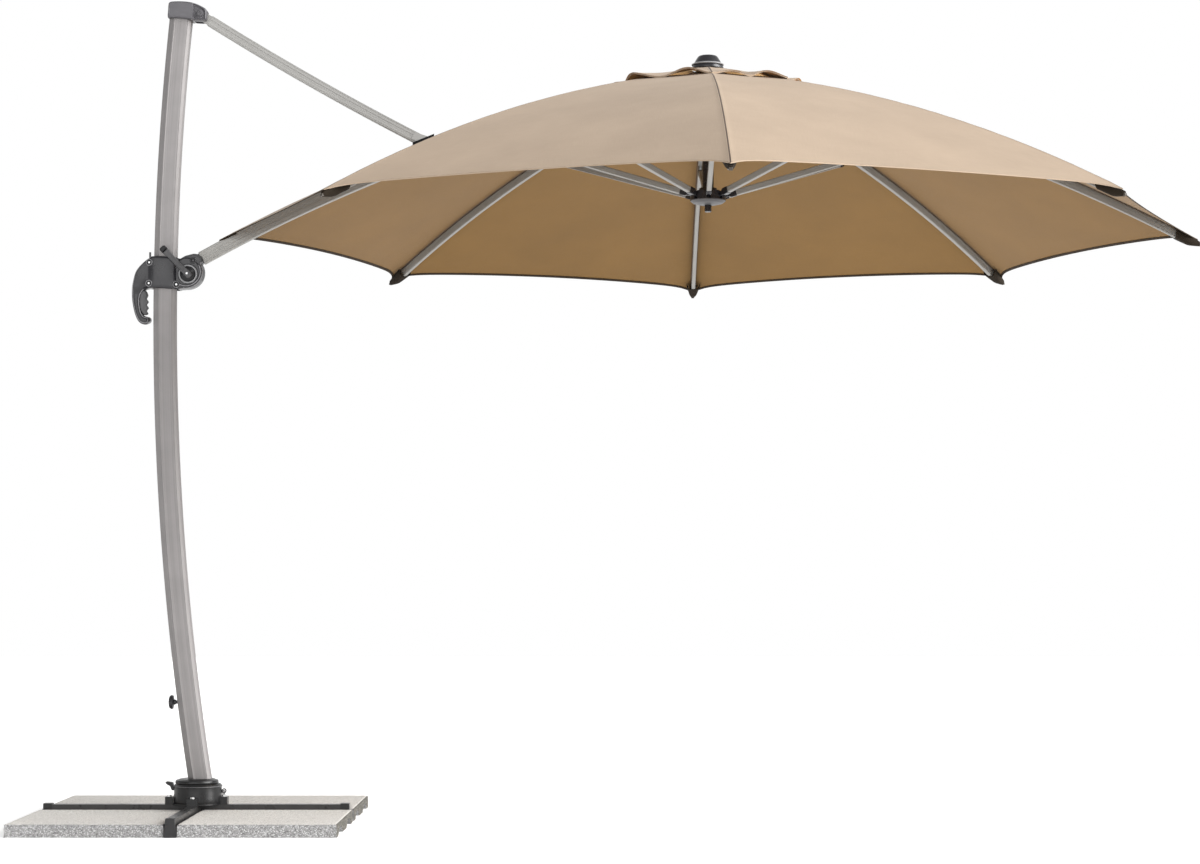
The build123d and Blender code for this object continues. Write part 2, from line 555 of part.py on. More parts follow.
def gore_dome(radius, thick, r_out, r_in, scallop):
    """Eight singly curved gores meeting on the ribs, as one thin closed shell."""
    k = cos(pi / 8)
    with BuildPart() as dome:
        with BuildSketch(Plane.XZ):
            with BuildLine():
                # the middle of a gore lies k times closer to the axis than the rib does
                n = 24
                rs = [r_in * 0.9 + (r_out * 1.02 - r_in * 0.9) * i / n for i in range(n + 1)]
                top = Spline(*[(r * k, canopy_z(r, radius) + thick / 2) for r in rs])
                bot = Spline(*[(r * k, canopy_z(r, radius) - thick / 2) for r in rs])
                Line(top @ 0, bot @ 0)
                Line(top @ 1, bot @ 1)
            make_face()
        extrude(amount=r_out, both=True)
        # one gore, with the outer edge hollowed between its corners
        half = r_out * sin(pi / 8)
        with BuildSketch(Plane.XY.offset(1500)) as wedge:
            with BuildLine():
                l1 = Line((r_in * k, -r_in * sin(pi / 8)), (r_out * k, -half))
                l2 = ThreePointArc((r_out * k, -half), (r_out * k - scallop, 0), (r_out * k, half))
                l3 = Line((r_out * k, half), (r_in * k, r_in * sin(pi / 8)))
                l4 = Line((r_in * k, r_in * sin(pi / 8)), (r_in * k, -r_in * sin(pi / 8)))
            make_face()
        extrude(amount=1500, mode=Mode.INTERSECT)
    return dome


# Main canopy, with the slot that the strut comes through and the open crown.
main_gore = gore_dome(R_FAB, FAB_T, R_TIP, R_VENT, 24.0)
with BuildPart() as canopy:
    for n in range(8):
        add(main_gore.part.moved(Location((HUB_X, 0, 0), (0, 0, 45 * n + 22.5))))
    with Locations((779, 0, 2262)):
        Box(84, 48, 120, mode=Mode.SUBTRACT)
write(canopy, "canopy")

vent_gore = gore_dome(R_FAB + 9, FAB_T, 318.0, 46.5, 10.0)
with BuildPart() as vent_cap:
    for n in range(8):
        add(vent_gore.part.moved(Location((HUB_X, 0, 0), (0, 0, 45 * n + 22.5))))
write(vent_cap, "vent_cap")

# ---------------------------------------------------------------- runner hub
with BuildPart() as lower_hub:
    with BuildSketch(Plane(origin=(HUB_X, 0, 2072))):
        Circle(60)
    extrude(amount=28)
    with BuildSketch(Plane(origin=(HUB_X, 0, 2060))):
        with PolarLocations(52, 8):
            Rectangle(34, 12.8)
    extrude(amount=60, mode=Mode.SUBTRACT)
    with BuildSketch(Plane(origin=(HUB_X, 0, 2100))):
        Circle(30)
    extrude(amount=12)
    for n in range(8):
        a = 45 * n
        up = ARM_UP if n == 4 else 0
        with Locations(Plane(origin=(HUB_X + HINGE_R * cos(radians(a)), HINGE_R * sin(radians(a)), LOW_Z + up), z_dir=(-sin(radians(a)), cos(radians(a)), 0))):
            Cylinder(3.0, 30, mode=Mode.SUBTRACT)
    with BuildSketch(Plane(origin=(HUB_X, 0, 2072))):
        Circle(8.2)
    extrude(amount=40, mode=Mode.SUBTRACT)
write(lower_hub, "lower_hub")

with BuildPart() as runner_pins:
    for n in range(8):
        a = 45 * n
        up = ARM_UP if n == 4 else 0
        with Locations(Plane(origin=(HUB_X + HINGE_R * cos(radians(a)), HINGE_R * sin(radians(a)), LOW_Z + up), z_dir=(-sin(radians(a)), cos(radians(a)), 0))):
            Cylinder(3.0, 21)
write(runner_pins, "runner_pins")

with BuildPart() as runner_disc:
    with BuildSketch(Plane(origin=(HUB_X, 0, 0), x_dir=(1, 0, 0), z_dir=(0, -1, 0))):
        with BuildLine():
            Polyline((8.2, 2071.8), (59, 2071.8), (59, 2069), (50, 2062), (30, 2057), (8.2, 2056), close=True)
        make_face()
    revolve(axis=Axis((HUB_X, 0, 0), (0, 0, 1)))
write(runner_disc, "runner_disc")

# Spacer tube standing on the runner, and the bolt that holds the stack together.
with BuildPart() as centre_post:
    with BuildSketch(Plane(origin=(HUB_X, 0, 2112.2))):
        Circle(19)
        Circle(15, mode=Mode.SUBTRACT)
    extrude(amount=2457 - 2112.2)
write(centre_post, "centre_post")

with BuildPart() as runner_bolt:
    with BuildSketch(Plane(origin=(HUB_X, 0, 0), x_dir=(1, 0, 0), z_dir=(0, -1, 0))):
        with BuildLine():
            Polyline((0, 2112), (14.5, 2112.2), (14.5, 2118), (0, 2118), close=True)
        make_face()
        with BuildLine():
            Polyline((0, 2033), (10.5, 2033), (11.5, 2036), (11.5, 2055.8), (8, 2055.8), (8, 2112.2), (0, 2112.2), close=True)
        make_face()
    revolve(axis=Axis((HUB_X, 0, 0), (0, 0, 1)))
write(runner_bolt, "runner_bolt")

# ---------------------------------------------------------------- ribs and braces
dxb, dzb = MID_R - HINGE_R, MID_Z - LOW_Z
BRACE_L = sqrt(dxb**2 + dzb**2)
BU = (dxb / BRACE_L, dzb / BRACE_L)


def rib_angle(r, radius):
    return degrees(atan2(sqrt(radius**2 - (r - CAN_C[0]) ** 2), r - CAN_C[0]))


for n in range(8):
    a = 45 * n
    pl = rib_plane(a)
    up = ARM_UP if n == 4 else 0
    # Brace: slim tube with a flat knuckle at each end.
    with BuildPart() as brace:
        def along(t, off):
            return (HINGE_R + BU[0] * t - BU[1] * off, LOW_Z + up + BU[1] * t + BU[0] * off)
        extrude(to_extrude=outline(pl, [along(28, -8), along(BRACE_L - 34, -8), along(BRACE_L - 34, 8), along(28, 8)]), amount=7, both=True)
        extrude(to_extrude=outline(pl, [along(27, -5.5), along(BRACE_L - 33, -5.5), along(BRACE_L - 33, 5.5), along(27, 5.5)]), amount=4.5, both=True, mode=Mode.SUBTRACT)
        for t0, t2 in ((0, 44), (BRACE_L, BRACE_L - 50)):
            with BuildSketch(pl):
                with Locations(along(t0, 0)):
                    Circle(6.5)
                with BuildLine():
                    Polyline(along(t0, -6.5), along(t2, -6.5), along(t2, 6.5), along(t0, 6.5), close=True)
                make_face()
            extrude(amount=4.5, both=True)
            extrude(to_extrude=disc(pl, along(t0, 0), 3.06), amount=20, both=True, mode=Mode.SUBTRACT)
        # drain slot in the underside
        extrude(to_extrude=outline(pl, [along(60, -8.5), along(BRACE_L - 70, -8.5), along(BRACE_L - 70, -5), along(60, -5)]), amount=1.5, both=True, mode=Mode.SUBTRACT)
    write(brace, f"brace_{n + 1}")
    if n == 4:
        continue
    # Rib: box section on the canopy's curve, with a hub tongue, a clip for the brace and a rounded tip.
    h0, h1 = rib_angle(88, R_RIB - RIB_H / 2), rib_angle(R_TIP - 8, R_RIB - RIB_H / 2)
    with BuildPart() as rib:
        extrude(to_extrude=band(pl, CAN_C, R_RIB, R_RIB - RIB_H, h0, h1), amount=RIB_W / 2, both=True)
        extrude(to_extrude=band(pl, CAN_C, R_RIB - 2, R_RIB - RIB_H + 2, h0 + 0.1, h1 - 0.1), amount=RIB_W / 2 - 2, both=True, mode=Mode.SUBTRACT)
        # hub tongue
        with BuildSketch(pl):
            with Locations((HINGE_R, HINGE_Z)):
                Circle(12.5)
            with BuildLine():
                Polyline((HINGE_R, HINGE_Z + 12.5), (88, canopy_z(88, R_RIB - 1.5)), (88, canopy_z(88, R_RIB - RIB_H + 1.5)), (HINGE_R, HINGE_Z - 12.5), close=True)
            make_face()
        extrude(amount=RIB_W / 2 - 0.5, both=True)
        extrude(to_extrude=band(pl, CAN_C, R_RIB - 2.2, R_RIB - RIB_H + 2.2, rib_angle(87.9, R_RIB - 13), rib_angle(118, R_RIB - 13)), amount=RIB_W / 2 - 2.2, both=True)
        extrude(to_extrude=disc(pl, (HINGE_R, HINGE_Z), 3.56), amount=20, both=True, mode=Mode.SUBTRACT)
        # brace clip: two cheeks hanging under the rib
        zb = canopy_z(MID_R, R_RIB - RIB_H)
        for side in (-1, 1):
            pc = Plane(origin=pl.origin + pl.z_dir * side * 5.0, x_dir=pl.x_dir, z_dir=pl.z_dir)
            with BuildSketch(pc):
                with BuildLine():
                    Polyline((MID_R - 16, canopy_z(MID_R - 16, R_RIB - RIB_H + 1.5)), (MID_R + 16, canopy_z(MID_R + 16, R_RIB - RIB_H + 1.5)), (MID_R + 7, MID_Z), (MID_R + 5, MID_Z - 5), (MID_R, MID_Z - 7), (MID_R - 5, MID_Z - 5), (MID_R - 7, MID_Z), close=True)
                make_face()
            extrude(amount=side * 2.4)
        extrude(to_extrude=disc(pl, (MID_R, MID_Z), 3.0), amount=7.9, both=True)
        # tip
        t1 = rib_angle(R_TIP - 8, R_RIB - 13.5)
        t2 = rib_angle(R_TIP + 12, R_RIB - 13.5)
        extrude(to_extrude=band(pl, CAN_C, R_RIB - 1, R_RIB - RIB_H + 3, t1, t2), amount=RIB_W / 2 - 0.5, both=True)
    write(rib, f"rib_{n + 1 if n < 4 else n}")

# Pin of the arm's brace, through the arm's side walls.
with BuildPart() as arm_brace_pin:
    with Locations(Location((HUB_X - MID_R, 0, MID_Z + ARM_UP), (90, 0, 0))):
        Cylinder(3, ARM_W)
        with Locations((0, 0, ARM_W / 2 + 1.2), (0, 0, -ARM_W / 2 - 1.2)):
            Cylinder(5.5, 2.4)
write(arm_brace_pin, "arm_brace_pin")
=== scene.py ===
import math
import random

import bpy
import bmesh
import numpy as np
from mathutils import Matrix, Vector
from mathutils.geometry import delaunay_2d_cdt


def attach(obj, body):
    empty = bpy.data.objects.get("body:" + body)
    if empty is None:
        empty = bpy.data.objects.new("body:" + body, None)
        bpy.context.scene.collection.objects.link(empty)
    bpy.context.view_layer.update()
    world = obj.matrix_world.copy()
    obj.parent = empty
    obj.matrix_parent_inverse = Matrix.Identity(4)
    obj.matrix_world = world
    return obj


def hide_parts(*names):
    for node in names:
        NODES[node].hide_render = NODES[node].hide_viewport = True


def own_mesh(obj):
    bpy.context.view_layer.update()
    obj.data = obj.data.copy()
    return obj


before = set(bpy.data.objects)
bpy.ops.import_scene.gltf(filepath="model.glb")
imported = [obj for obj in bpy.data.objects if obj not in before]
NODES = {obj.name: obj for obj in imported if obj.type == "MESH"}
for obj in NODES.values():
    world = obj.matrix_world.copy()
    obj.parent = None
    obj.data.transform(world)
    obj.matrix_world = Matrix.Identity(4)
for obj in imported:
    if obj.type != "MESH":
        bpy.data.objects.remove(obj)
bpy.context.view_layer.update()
scene = bpy.context.scene
random.seed(7)
rng = np.random.default_rng(7)

# ------------------------------------------------------------------ dimensions, metres
MAST_C, MAST_R, MAST_X, MAST_Y, MAST_TOP = (9.7125, 1.7378), 9.8328, .075, .058, 2.738
P, Q, S = (-.006, 2.702), (.795, 2.268), (-.038, 1.866)
LOBE, LEVER = (-.046, 1.829), (-.040, 1.821)
HUB_X, HINGE_R, HINGE_Z, LOW_Z, MID_Z, MID_R, ARM_UP = 1.7, .050, 2.476, 2.086, 2.281, .722, .005
CAN_C, R_FAB, R_TIP, R_VENT = (-.9414, -2.8603), 5.450, 1.640, .240
R_RIB, RIB_H, RIB_W, ARM_H, ARM_W = 5.445, .027, .015, .045, .026
STRUT_H, STRUT_W, STRUT_R = .036, .028, 9.560
POT_R, COLLAR_TOP = .077, .134


def canopy_z(r, radius):
    return CAN_C[1] + np.sqrt(radius ** 2 - (r - CAN_C[0]) ** 2)


def mast_x(z, off=0.0):
    return MAST_C[0] - np.sqrt((MAST_R - off) ** 2 - (z - MAST_C[1]) ** 2)


# ------------------------------------------------------------------ node helpers
class Nodes:
    """A short way to write a node tree."""

    def __init__(self, name):
        self.m = bpy.data.materials.new(name)
        self.m.use_nodes = True
        self.t = self.m.node_tree
        self.b = next(n for n in self.t.nodes if n.type == "BSDF_PRINCIPLED")

    def new(self, kind, **k):
        n = self.t.nodes.new(kind)
        for a, v in k.items():
            setattr(n, a, v)
        return n

    def link(self, a, b):
        self.t.links.new(a, b)

    def set(self, **k):
        for a, v in k.items():
            s = self.b.inputs[a.replace("_", " ")]
            s.default_value = v
        return self

    def coord(self, kind="Object"):
        return self.new("ShaderNodeTexCoord").outputs[kind]

    def scaled(self, src, scale):
        n = self.new("ShaderNodeMapping")
        n.inputs["Scale"].default_value = scale
        self.link(src, n.inputs["Vector"])
        return n.outputs[0]

    def noise(self, src, scale, detail=3.0, rough=0.55, scale3=None):
        if scale3:
            src = self.scaled(src, scale3)
        n = self.new("ShaderNodeTexNoise")
        n.inputs["Scale"].default_value = scale
        n.inputs["Detail"].default_value = detail
        n.inputs["Roughness"].default_value = rough
        self.link(src, n.inputs["Vector"])
        return n.outputs["Fac"]

    def voronoi(self, src, scale, out="Distance", feature="F1", rand=1.0):
        n = self.new("ShaderNodeTexVoronoi", feature=feature)
        n.inputs["Scale"].default_value = scale
        n.inputs["Randomness"].default_value = rand
        self.link(src, n.inputs["Vector"])
        return n.outputs[out]

    def ramp(self, fac, stops):
        n = self.new("ShaderNodeValToRGB")
        e = n.color_ramp.elements
        while len(e) < len(stops):
            e.new(0.5)
        for k, (p, c) in enumerate(stops):
            e[k].position = p
            e[k].color = (*c, 1) if len(c) == 3 else c
        self.link(fac, n.inputs[0])
        return n.outputs[0]

    def math(self, op, a, b=None, clamp=False):
        n = self.new("ShaderNodeMath", operation=op, use_clamp=clamp)
        for k, v in enumerate((a, b)):
            if v is None:
                continue
            if isinstance(v, (int, float)):
                n.inputs[k].default_value = v
            else:
                self.link(v, n.inputs[k])
        return n.outputs[0]

    def mix(self, fac, a, b, blend="MIX"):
        n = self.new("ShaderNodeMix", data_type="RGBA", blend_type=blend)
        n.inputs[0].default_value = fac if isinstance(fac, (int, float)) else 0.5
        if not isinstance(fac, (int, float)):
            self.link(fac, n.inputs[0])
        for k, v in ((6, a), (7, b)):
            if isinstance(v, tuple):
                n.inputs[k].default_value = (*v, 1)
            else:
                self.link(v, n.inputs[k])
        return n.outputs[2]

    def maprange(self, v, a, b, c, d):
        n = self.new("ShaderNodeMapRange")
        for k, x in ((1, a), (2, b), (3, c), (4, d)):
            n.inputs[k].default_value = x
        self.link(v, n.inputs[0])
        return n.outputs[0]

    def bump(self, height, strength=0.3, distance=0.001):
        n = self.new("ShaderNodeBump")
        n.inputs["Strength"].default_value = strength
        n.inputs["Distance"].default_value = distance
        self.link(height, n.inputs["Height"])
        self.link(n.outputs[0], self.b.inputs["Normal"])

    def color(self, c):
        self.link(c, self.b.inputs["Base Color"])

    def rough(self, r):
        self.link(r, self.b.inputs["Roughness"])


def metal(name, base, rough, streak=True, var=0.05, metallic=0.85, aniso=0.35):
    """Drawn aluminium: fine lines along the profile, soft blotches in the finish."""
    n = Nodes(name)
    n.set(Metallic=metallic, Anisotropic=aniso)
    obj = n.coord("Object")
    big = n.noise(obj, 9.0, 4.0)
    if streak:
        uv = n.coord("UV")
        fine = n.noise(uv, 1.0, 3.0, 0.6, scale3=(2600.0, 5.0, 1.0))
        mid = n.noise(uv, 1.0, 2.0, 0.5, scale3=(260.0, .5, 1.0))
        lines = n.math("ADD", n.math("MULTIPLY", fine, 0.35), n.math("MULTIPLY", mid, 0.65))
    else:
        lines = n.noise(obj, 900.0, 2.0)
    tone = n.math("ADD", n.math("MULTIPLY", lines, 0.75), n.math("MULTIPLY", big, 0.25))
    lo = tuple(c * (1 - var * 2.2) for c in base)
    hi = tuple(min(1, c * (1 + var * 2.2)) for c in base)
    n.color(n.ramp(tone, [(0.3, lo), (0.7, hi)]))
    n.rough(n.maprange(lines, 0.25, 0.75, rough - 0.07, rough + 0.09))
    n.bump(mid if streak else lines, 0.10, 0.0002)
    return n.m


def plastic(name, base, rough=0.48, grain=1400.0, depth=0.35, spec=0.4):
    """Moulded plastic with a fine spark-eroded grain and slight wear tone."""
    n = Nodes(name)
    n.set(**{"Specular_IOR_Level": spec})
    obj = n.coord("Object")
    g = n.voronoi(obj, grain, "Distance")
    f = n.noise(obj, grain * 1.7, 2.0)
    h = n.math("ADD", n.math("MULTIPLY", g, 0.6), n.math("MULTIPLY", f, 0.4))
    big = n.noise(obj, 22.0, 5.0)
    n.color(n.ramp(big, [(0.3, tuple(c * 0.86 for c in base)), (0.72, tuple(min(1, c * 1.18) for c in base))]))
    n.rough(n.maprange(big, 0.3, 0.7, rough - 0.05, rough + 0.07))
    n.bump(h, depth, 0.0002)
    return n.m


def cloth(name, base, dark, seam=None, sheen=0.25, tape=None, slub=0.05, emit=None):
    """Plain-woven polyester; UV is metres: U across the rib line, V outwards."""
    n = Nodes(name)
    n.set(Roughness=0.86, **{"Sheen_Weight": sheen, "Sheen_Roughness": 0.5, "Specular_IOR_Level": 0.22})
    uv = n.coord("UV")
    sep = n.new("ShaderNodeSeparateXYZ")
    n.link(uv, sep.inputs[0])
    u, v = sep.outputs[0], sep.outputs[1]
    freq = 2 * math.pi / 0.0011
    wu = n.math("SINE", n.math("MULTIPLY", u, freq))
    wv = n.math("SINE", n.math("MULTIPLY", v, freq))
    weave = n.math("MULTIPLY", wu, wv)
    warp = n.noise(uv, 1.0, 2.0, 0.5, scale3=(900.0, 14.0, 1.0))
    weft = n.noise(uv, 1.0, 2.0, 0.5, scale3=(14.0, 900.0, 1.0))
    soft = n.noise(n.coord("Object"), 3.2, 4.0, 0.6)
    tone = n.math("ADD", n.math("MULTIPLY", n.math("ADD", warp, weft), 0.25), n.math("MULTIPLY", soft, 0.5))
    lo = tuple(c * (1 - slub * 2) for c in base)
    hi = tuple(min(1, c * (1 + slub * 2)) for c in base)
    col = n.ramp(tone, [(0.34, lo), (0.66, hi)])
    au = n.math("ABSOLUTE", u)
    height = n.math("ADD", n.math("MULTIPLY", weave, 0.22), n.math("MULTIPLY", n.math("ADD", warp, weft), 0.5))
    if seam:
        # felled seam: dark joint line, two rows of stitches beside it
        for at, width, strength, dash in seam:
            d = n.math("ABSOLUTE", n.math("SUBTRACT", u, at))
            line = n.math("LESS_THAN", d, width)
            if dash:
                on = n.math("GREATER_THAN", n.math("SINE", n.math("MULTIPLY", v, 2 * math.pi / dash)), -0.35)
                line = n.math("MULTIPLY", line, on)
            col = n.mix(n.math("MULTIPLY", line, strength), col, dark)
            height = n.math("SUBTRACT", height, n.math("MULTIPLY", line, 0.8))
    if tape:
        width, colour = tape
        col = n.mix(n.math("MULTIPLY", n.math("LESS_THAN", au, width), 0.9), col, colour)
    n.color(col)
    n.bump(height, 0.25, 0.0004)
    return n.m


def concrete(name, base, stone, dark, fine, coarse, depth, amount):
    """Washed concrete: pale paste with light and dark grit showing."""
    n = Nodes(name)
    n.set(Roughness=0.9, **{"Specular_IOR_Level": 0.25})
    obj = n.coord("Object")
    cell = n.new("ShaderNodeTexVoronoi", feature="F1")
    cell.inputs["Scale"].default_value = coarse
    n.link(obj, cell.inputs["Vector"])
    sep = n.new("ShaderNodeSeparateColor")
    n.link(cell.outputs["Color"], sep.inputs[0])
    pick, pick2 = sep.outputs[0], sep.outputs[1]
    grain = n.math("LESS_THAN", cell.outputs["Distance"], 0.42)
    big = n.noise(obj, 5.0, 5.0)
    n1 = n.noise(obj, fine, 4.0, 0.7)
    paste = n.ramp(n.math("ADD", n.math("MULTIPLY", n1, 0.7), n.math("MULTIPLY", big, 0.3)), [(0.3, tuple(c * 0.84 for c in base)), (0.7, tuple(min(1, c * 1.12) for c in base))])
    light = n.math("MULTIPLY", grain, n.math("GREATER_THAN", pick, 1 - amount))
    black = n.math("MULTIPLY", grain, n.math("LESS_THAN", pick, amount * 0.8))
    col = n.mix(n.math("MULTIPLY", light, 0.85), paste, stone)
    col = n.mix(n.math("MULTIPLY", black, 0.8), col, dark)
    col = n.mix(n.math("MULTIPLY", n.math("MULTIPLY", grain, n.math("GREATER_THAN", pick2, 0.8)), 0.4), col, tuple(c * f for c, f in zip(base, (0.8, 0.72, 0.6))))
    n.color(col)
    h = n.math("ADD", n.math("MULTIPLY", n.math("SUBTRACT", 1.0, cell.outputs["Distance"]), 0.6), n.math("MULTIPLY", n1, 0.5))
    n.bump(h, depth, 0.0012)
    return n.m


M = {
    "mast": metal("mast_aluminium", (.238, .226, .224), .57, var=.115, metallic=.32),
    "frame": metal("frame_aluminium", (.285, .278, .262), .50, var=.085, metallic=.40),
    "frame_bare": metal("frame_aluminium_bare", (.285, .280, .268), .45, streak=False, metallic=.55),
    "steel": metal("zinc_steel", (.62, .62, .62), .26, streak=False, metallic=1.0, aniso=0.0),
    "rail": plastic("rail_coat", (.026, .025, .025), .30, 1100, .15),
    "dark": plastic("dark_plastic", (.0135, .0130, .0155), .28, 1300, .20, .5),
    # painted highlight: light grey for thin bands where light catches rounded edges of dark plastic
    "edge": plastic("painted_edge_highlight", (.23, .225, .235), .36, 1300, .2),
    "base": plastic("base_plastic", (.0105, .0105, .0110), .30, 1100, .22, .38),
    "grip": plastic("grip_plastic", (.085, .083, .086), .5, 900, .5),
    "lever": plastic("lever_plastic", (.052, .051, .053), .42, 1200, .45),
    "bracket": plastic("bracket_plastic", (.080, .077, .084), .33, 1300, .22),
    # painted highlight: light grey ring on rounded black plastic edges
    "ring_highlight": plastic("painted_ring_highlight", (.25, .25, .255), .35, 1300, .2),
    "disc": plastic("disc_plastic", (.080, .078, .080), .50, 1300, .25),
    # black plastic of the lever boss and cap; also painted shade in the slider's counterbores and as the rail caps'
    # keyholes
    "black_and_shade": plastic("black_plastic_and_painted_shade", (.006, .006, .007), .42, 1100, .25, .3),
    "top": cloth("canopy_top", (.370, .284, .208), (.055, .034, .022), sheen=0.05, seam=[(.0, .0023, .95, None), (.0062, .0007, .22, .005), (-.0062, .0007, .22, .005)]),
    # painted shade and light through the cloth: the underside is the same fabric as the top, as a darker, browner copy
    "under": cloth("canopy_underside", (.184, .099, .0245), (.06, .033, .012), seam=[(.0, .0006, .5, None)], tape=(.0135, (.105, .060, .027)), sheen=0.15),
    # painted shade: near-black for the rim's binding
    "binding": cloth("edge_binding_painted_shade", (.026, .016, .008), (.01, .006, .004), sheen=0.02),
    "pocket": cloth("tip_pocket", (.015, .0095, .0045), (.008, .005, .003), sheen=0.0),
    # painted light: the vent cap's underside, the same fabric in a much lighter, oranger copy for the lit gap under the
    # cap
    "vent_under_lit": cloth("vent_underside_painted_light", (.75, .44, .17), (.3, .18, .08), sheen=0.1),
    "trim": plastic("slot_trim", (.004, .004, .004), .6, 1000, .3, .15),
    "tipcap": plastic("rib_end", (.055, .045, .035), .45, 1200, .2),
    "slab_top": concrete("slab_top", (.65, .632, .60), (.92, .91, .89), (.17, .165, .155), 330.0, 330.0, .8, .42),
    "slab_side": concrete("slab_side", (.265, .263, .262), (.66, .66, .66), (.016, .016, .018), 300.0, 300.0, 1.0, .46),
    # painted shade: darker copy of the side concrete for the outer side faces of the right-hand slabs
    "slab_side_painted_shade": concrete("slab_side_painted_shade", (.085, .081, .071), (.31, .30, .27), (.010, .010, .009), 300.0, 300.0, 1.0, .42),
}


# ------------------------------------------------------------------ mesh helpers
def obj_from(name, verts, faces, mats, face_mat=None, uvs=None, smooth=True, sharp=35):
    me = bpy.data.meshes.new(name)
    me.from_pydata([tuple(map(float, v)) for v in verts], [], [tuple(int(i) for i in f) for f in faces])
    me.update()
    for m in mats:
        me.materials.append(M[m] if isinstance(m, str) else m)
    if face_mat is not None:
        me.polygons.foreach_set("material_index", list(map(int, face_mat)))
    if uvs is not None:
        lay = me.uv_layers.new(name="UVMap")
        uvs = np.asarray(uvs, float)
        if len(uvs) == len(me.vertices):
            idx = np.empty(len(me.loops), int)
            me.loops.foreach_get("vertex_index", idx)
            lay.data.foreach_set("uv", uvs[idx].ravel())
        else:
            lay.data.foreach_set("uv", uvs.ravel())
    if smooth:
        me.polygons.foreach_set("use_smooth", [True] * len(me.polygons))
        me.set_sharp_from_angle(angle=math.radians(sharp))
    me.validate()
    o = bpy.data.objects.new(name, me)
    scene.collection.objects.link(o)
    return o


def tidy(o):
    """Outward normals on a closed mesh."""
    bm = bmesh.new()
    bm.from_mesh(o.data)
    bmesh.ops.remove_doubles(bm, verts=bm.verts, dist=1e-6)
    bmesh.ops.recalc_face_normals(bm, faces=bm.faces)
    bm.to_mesh(o.data)
    bm.free()
    return o


def add_bevel(o, width, segments=2, angle=32):
    b = o.modifiers.new("bevel", "BEVEL")
    b.width, b.segments, b.limit_method, b.angle_limit = width, segments, "ANGLE", math.radians(angle)
    b.use_clamp_overlap = True
    return o


def place(o, body, slot, *nodes):
    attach(o, body)
    if nodes:
        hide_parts(*nodes)
    return o


def fillet_loop(points, radius, seg=4):
    """Closed polygon with rounded corners; radius is one number or one per corner."""
    pts = [np.array(p, float) for p in points]
    n = len(pts)
    out = []
    for i in range(n):
        r = radius if isinstance(radius, (int, float)) else radius[i]
        a, b, c = pts[i - 1], pts[i], pts[(i + 1) % n]
        if r <= 0:
            out.append(b)
            continue
        u, v = (a - b) / np.linalg.norm(a - b), (c - b) / np.linalg.norm(c - b)
        ang = math.acos(max(-1, min(1, float(u @ v))))
        if ang > math.pi - 0.02:
            out.append(b)
            continue
        t = min(r / math.tan(ang / 2), 0.45 * np.linalg.norm(a - b), 0.45 * np.linalg.norm(c - b))
        rr = t * math.tan(ang / 2)
        m = (u + v) / np.linalg.norm(u + v)
        o = b + m * rr / math.sin(ang / 2)
        s, e = b + u * t - o, b + v * t - o
        a0, a1 = math.atan2(s[1], s[0]), math.atan2(e[1], e[0])
        d = (a1 - a0 + math.pi) % (2 * math.pi) - math.pi
        for k in range(seg + 1):
            w = a0 + d * k / seg
            out.append(o + rr * np.array([math.cos(w), math.sin(w)]))
    return np.array(out)


def sweep(name, prof, path, A, B, mats, caps=True, sharp=28, face_mat=None):
    """Closed profile (a, b) carried along path, a along A and b along B."""
    prof, path, A, B = (np.asarray(x, float) for x in (prof, path, A, B))
    n, m = len(prof), len(path)
    V = (path[:, None, :] + prof[None, :, 0:1] * A[:, None, :] + prof[None, :, 1:2] * B[:, None, :]).reshape(-1, 3)
    F, uv = [], []
    pl = np.concatenate([[0], np.cumsum(np.linalg.norm(np.diff(np.vstack([prof, prof[:1]]), axis=0), axis=1))])
    sl = np.concatenate([[0], np.cumsum(np.linalg.norm(np.diff(path, axis=0), axis=1))])
    fm = []
    for i in range(m - 1):
        for j in range(n):
            k = (j + 1) % n
            F.append((i * n + j, i * n + k, (i + 1) * n + k, (i + 1) * n + j))
            uv += [(pl[j], sl[i]), (pl[j + 1], sl[i]), (pl[j + 1], sl[i + 1]), (pl[j], sl[i + 1])]
            fm.append(face_mat[j] if face_mat is not None else 0)
    if caps:
        F.append(tuple(range(n - 1, -1, -1)))
        uv += [tuple(prof[j]) for j in range(n - 1, -1, -1)]
        F.append(tuple((m - 1) * n + j for j in range(n)))
        uv += [tuple(prof[j]) for j in range(n)]
        fm += [0, 0]
    o = obj_from(name, V, F, mats, face_mat=fm, uvs=uv, sharp=sharp)
    bm = bmesh.new()
    bm.from_mesh(o.data)
    bmesh.ops.recalc_face_normals(bm, faces=bm.faces)
    bm.to_mesh(o.data)
    bm.free()
    return o


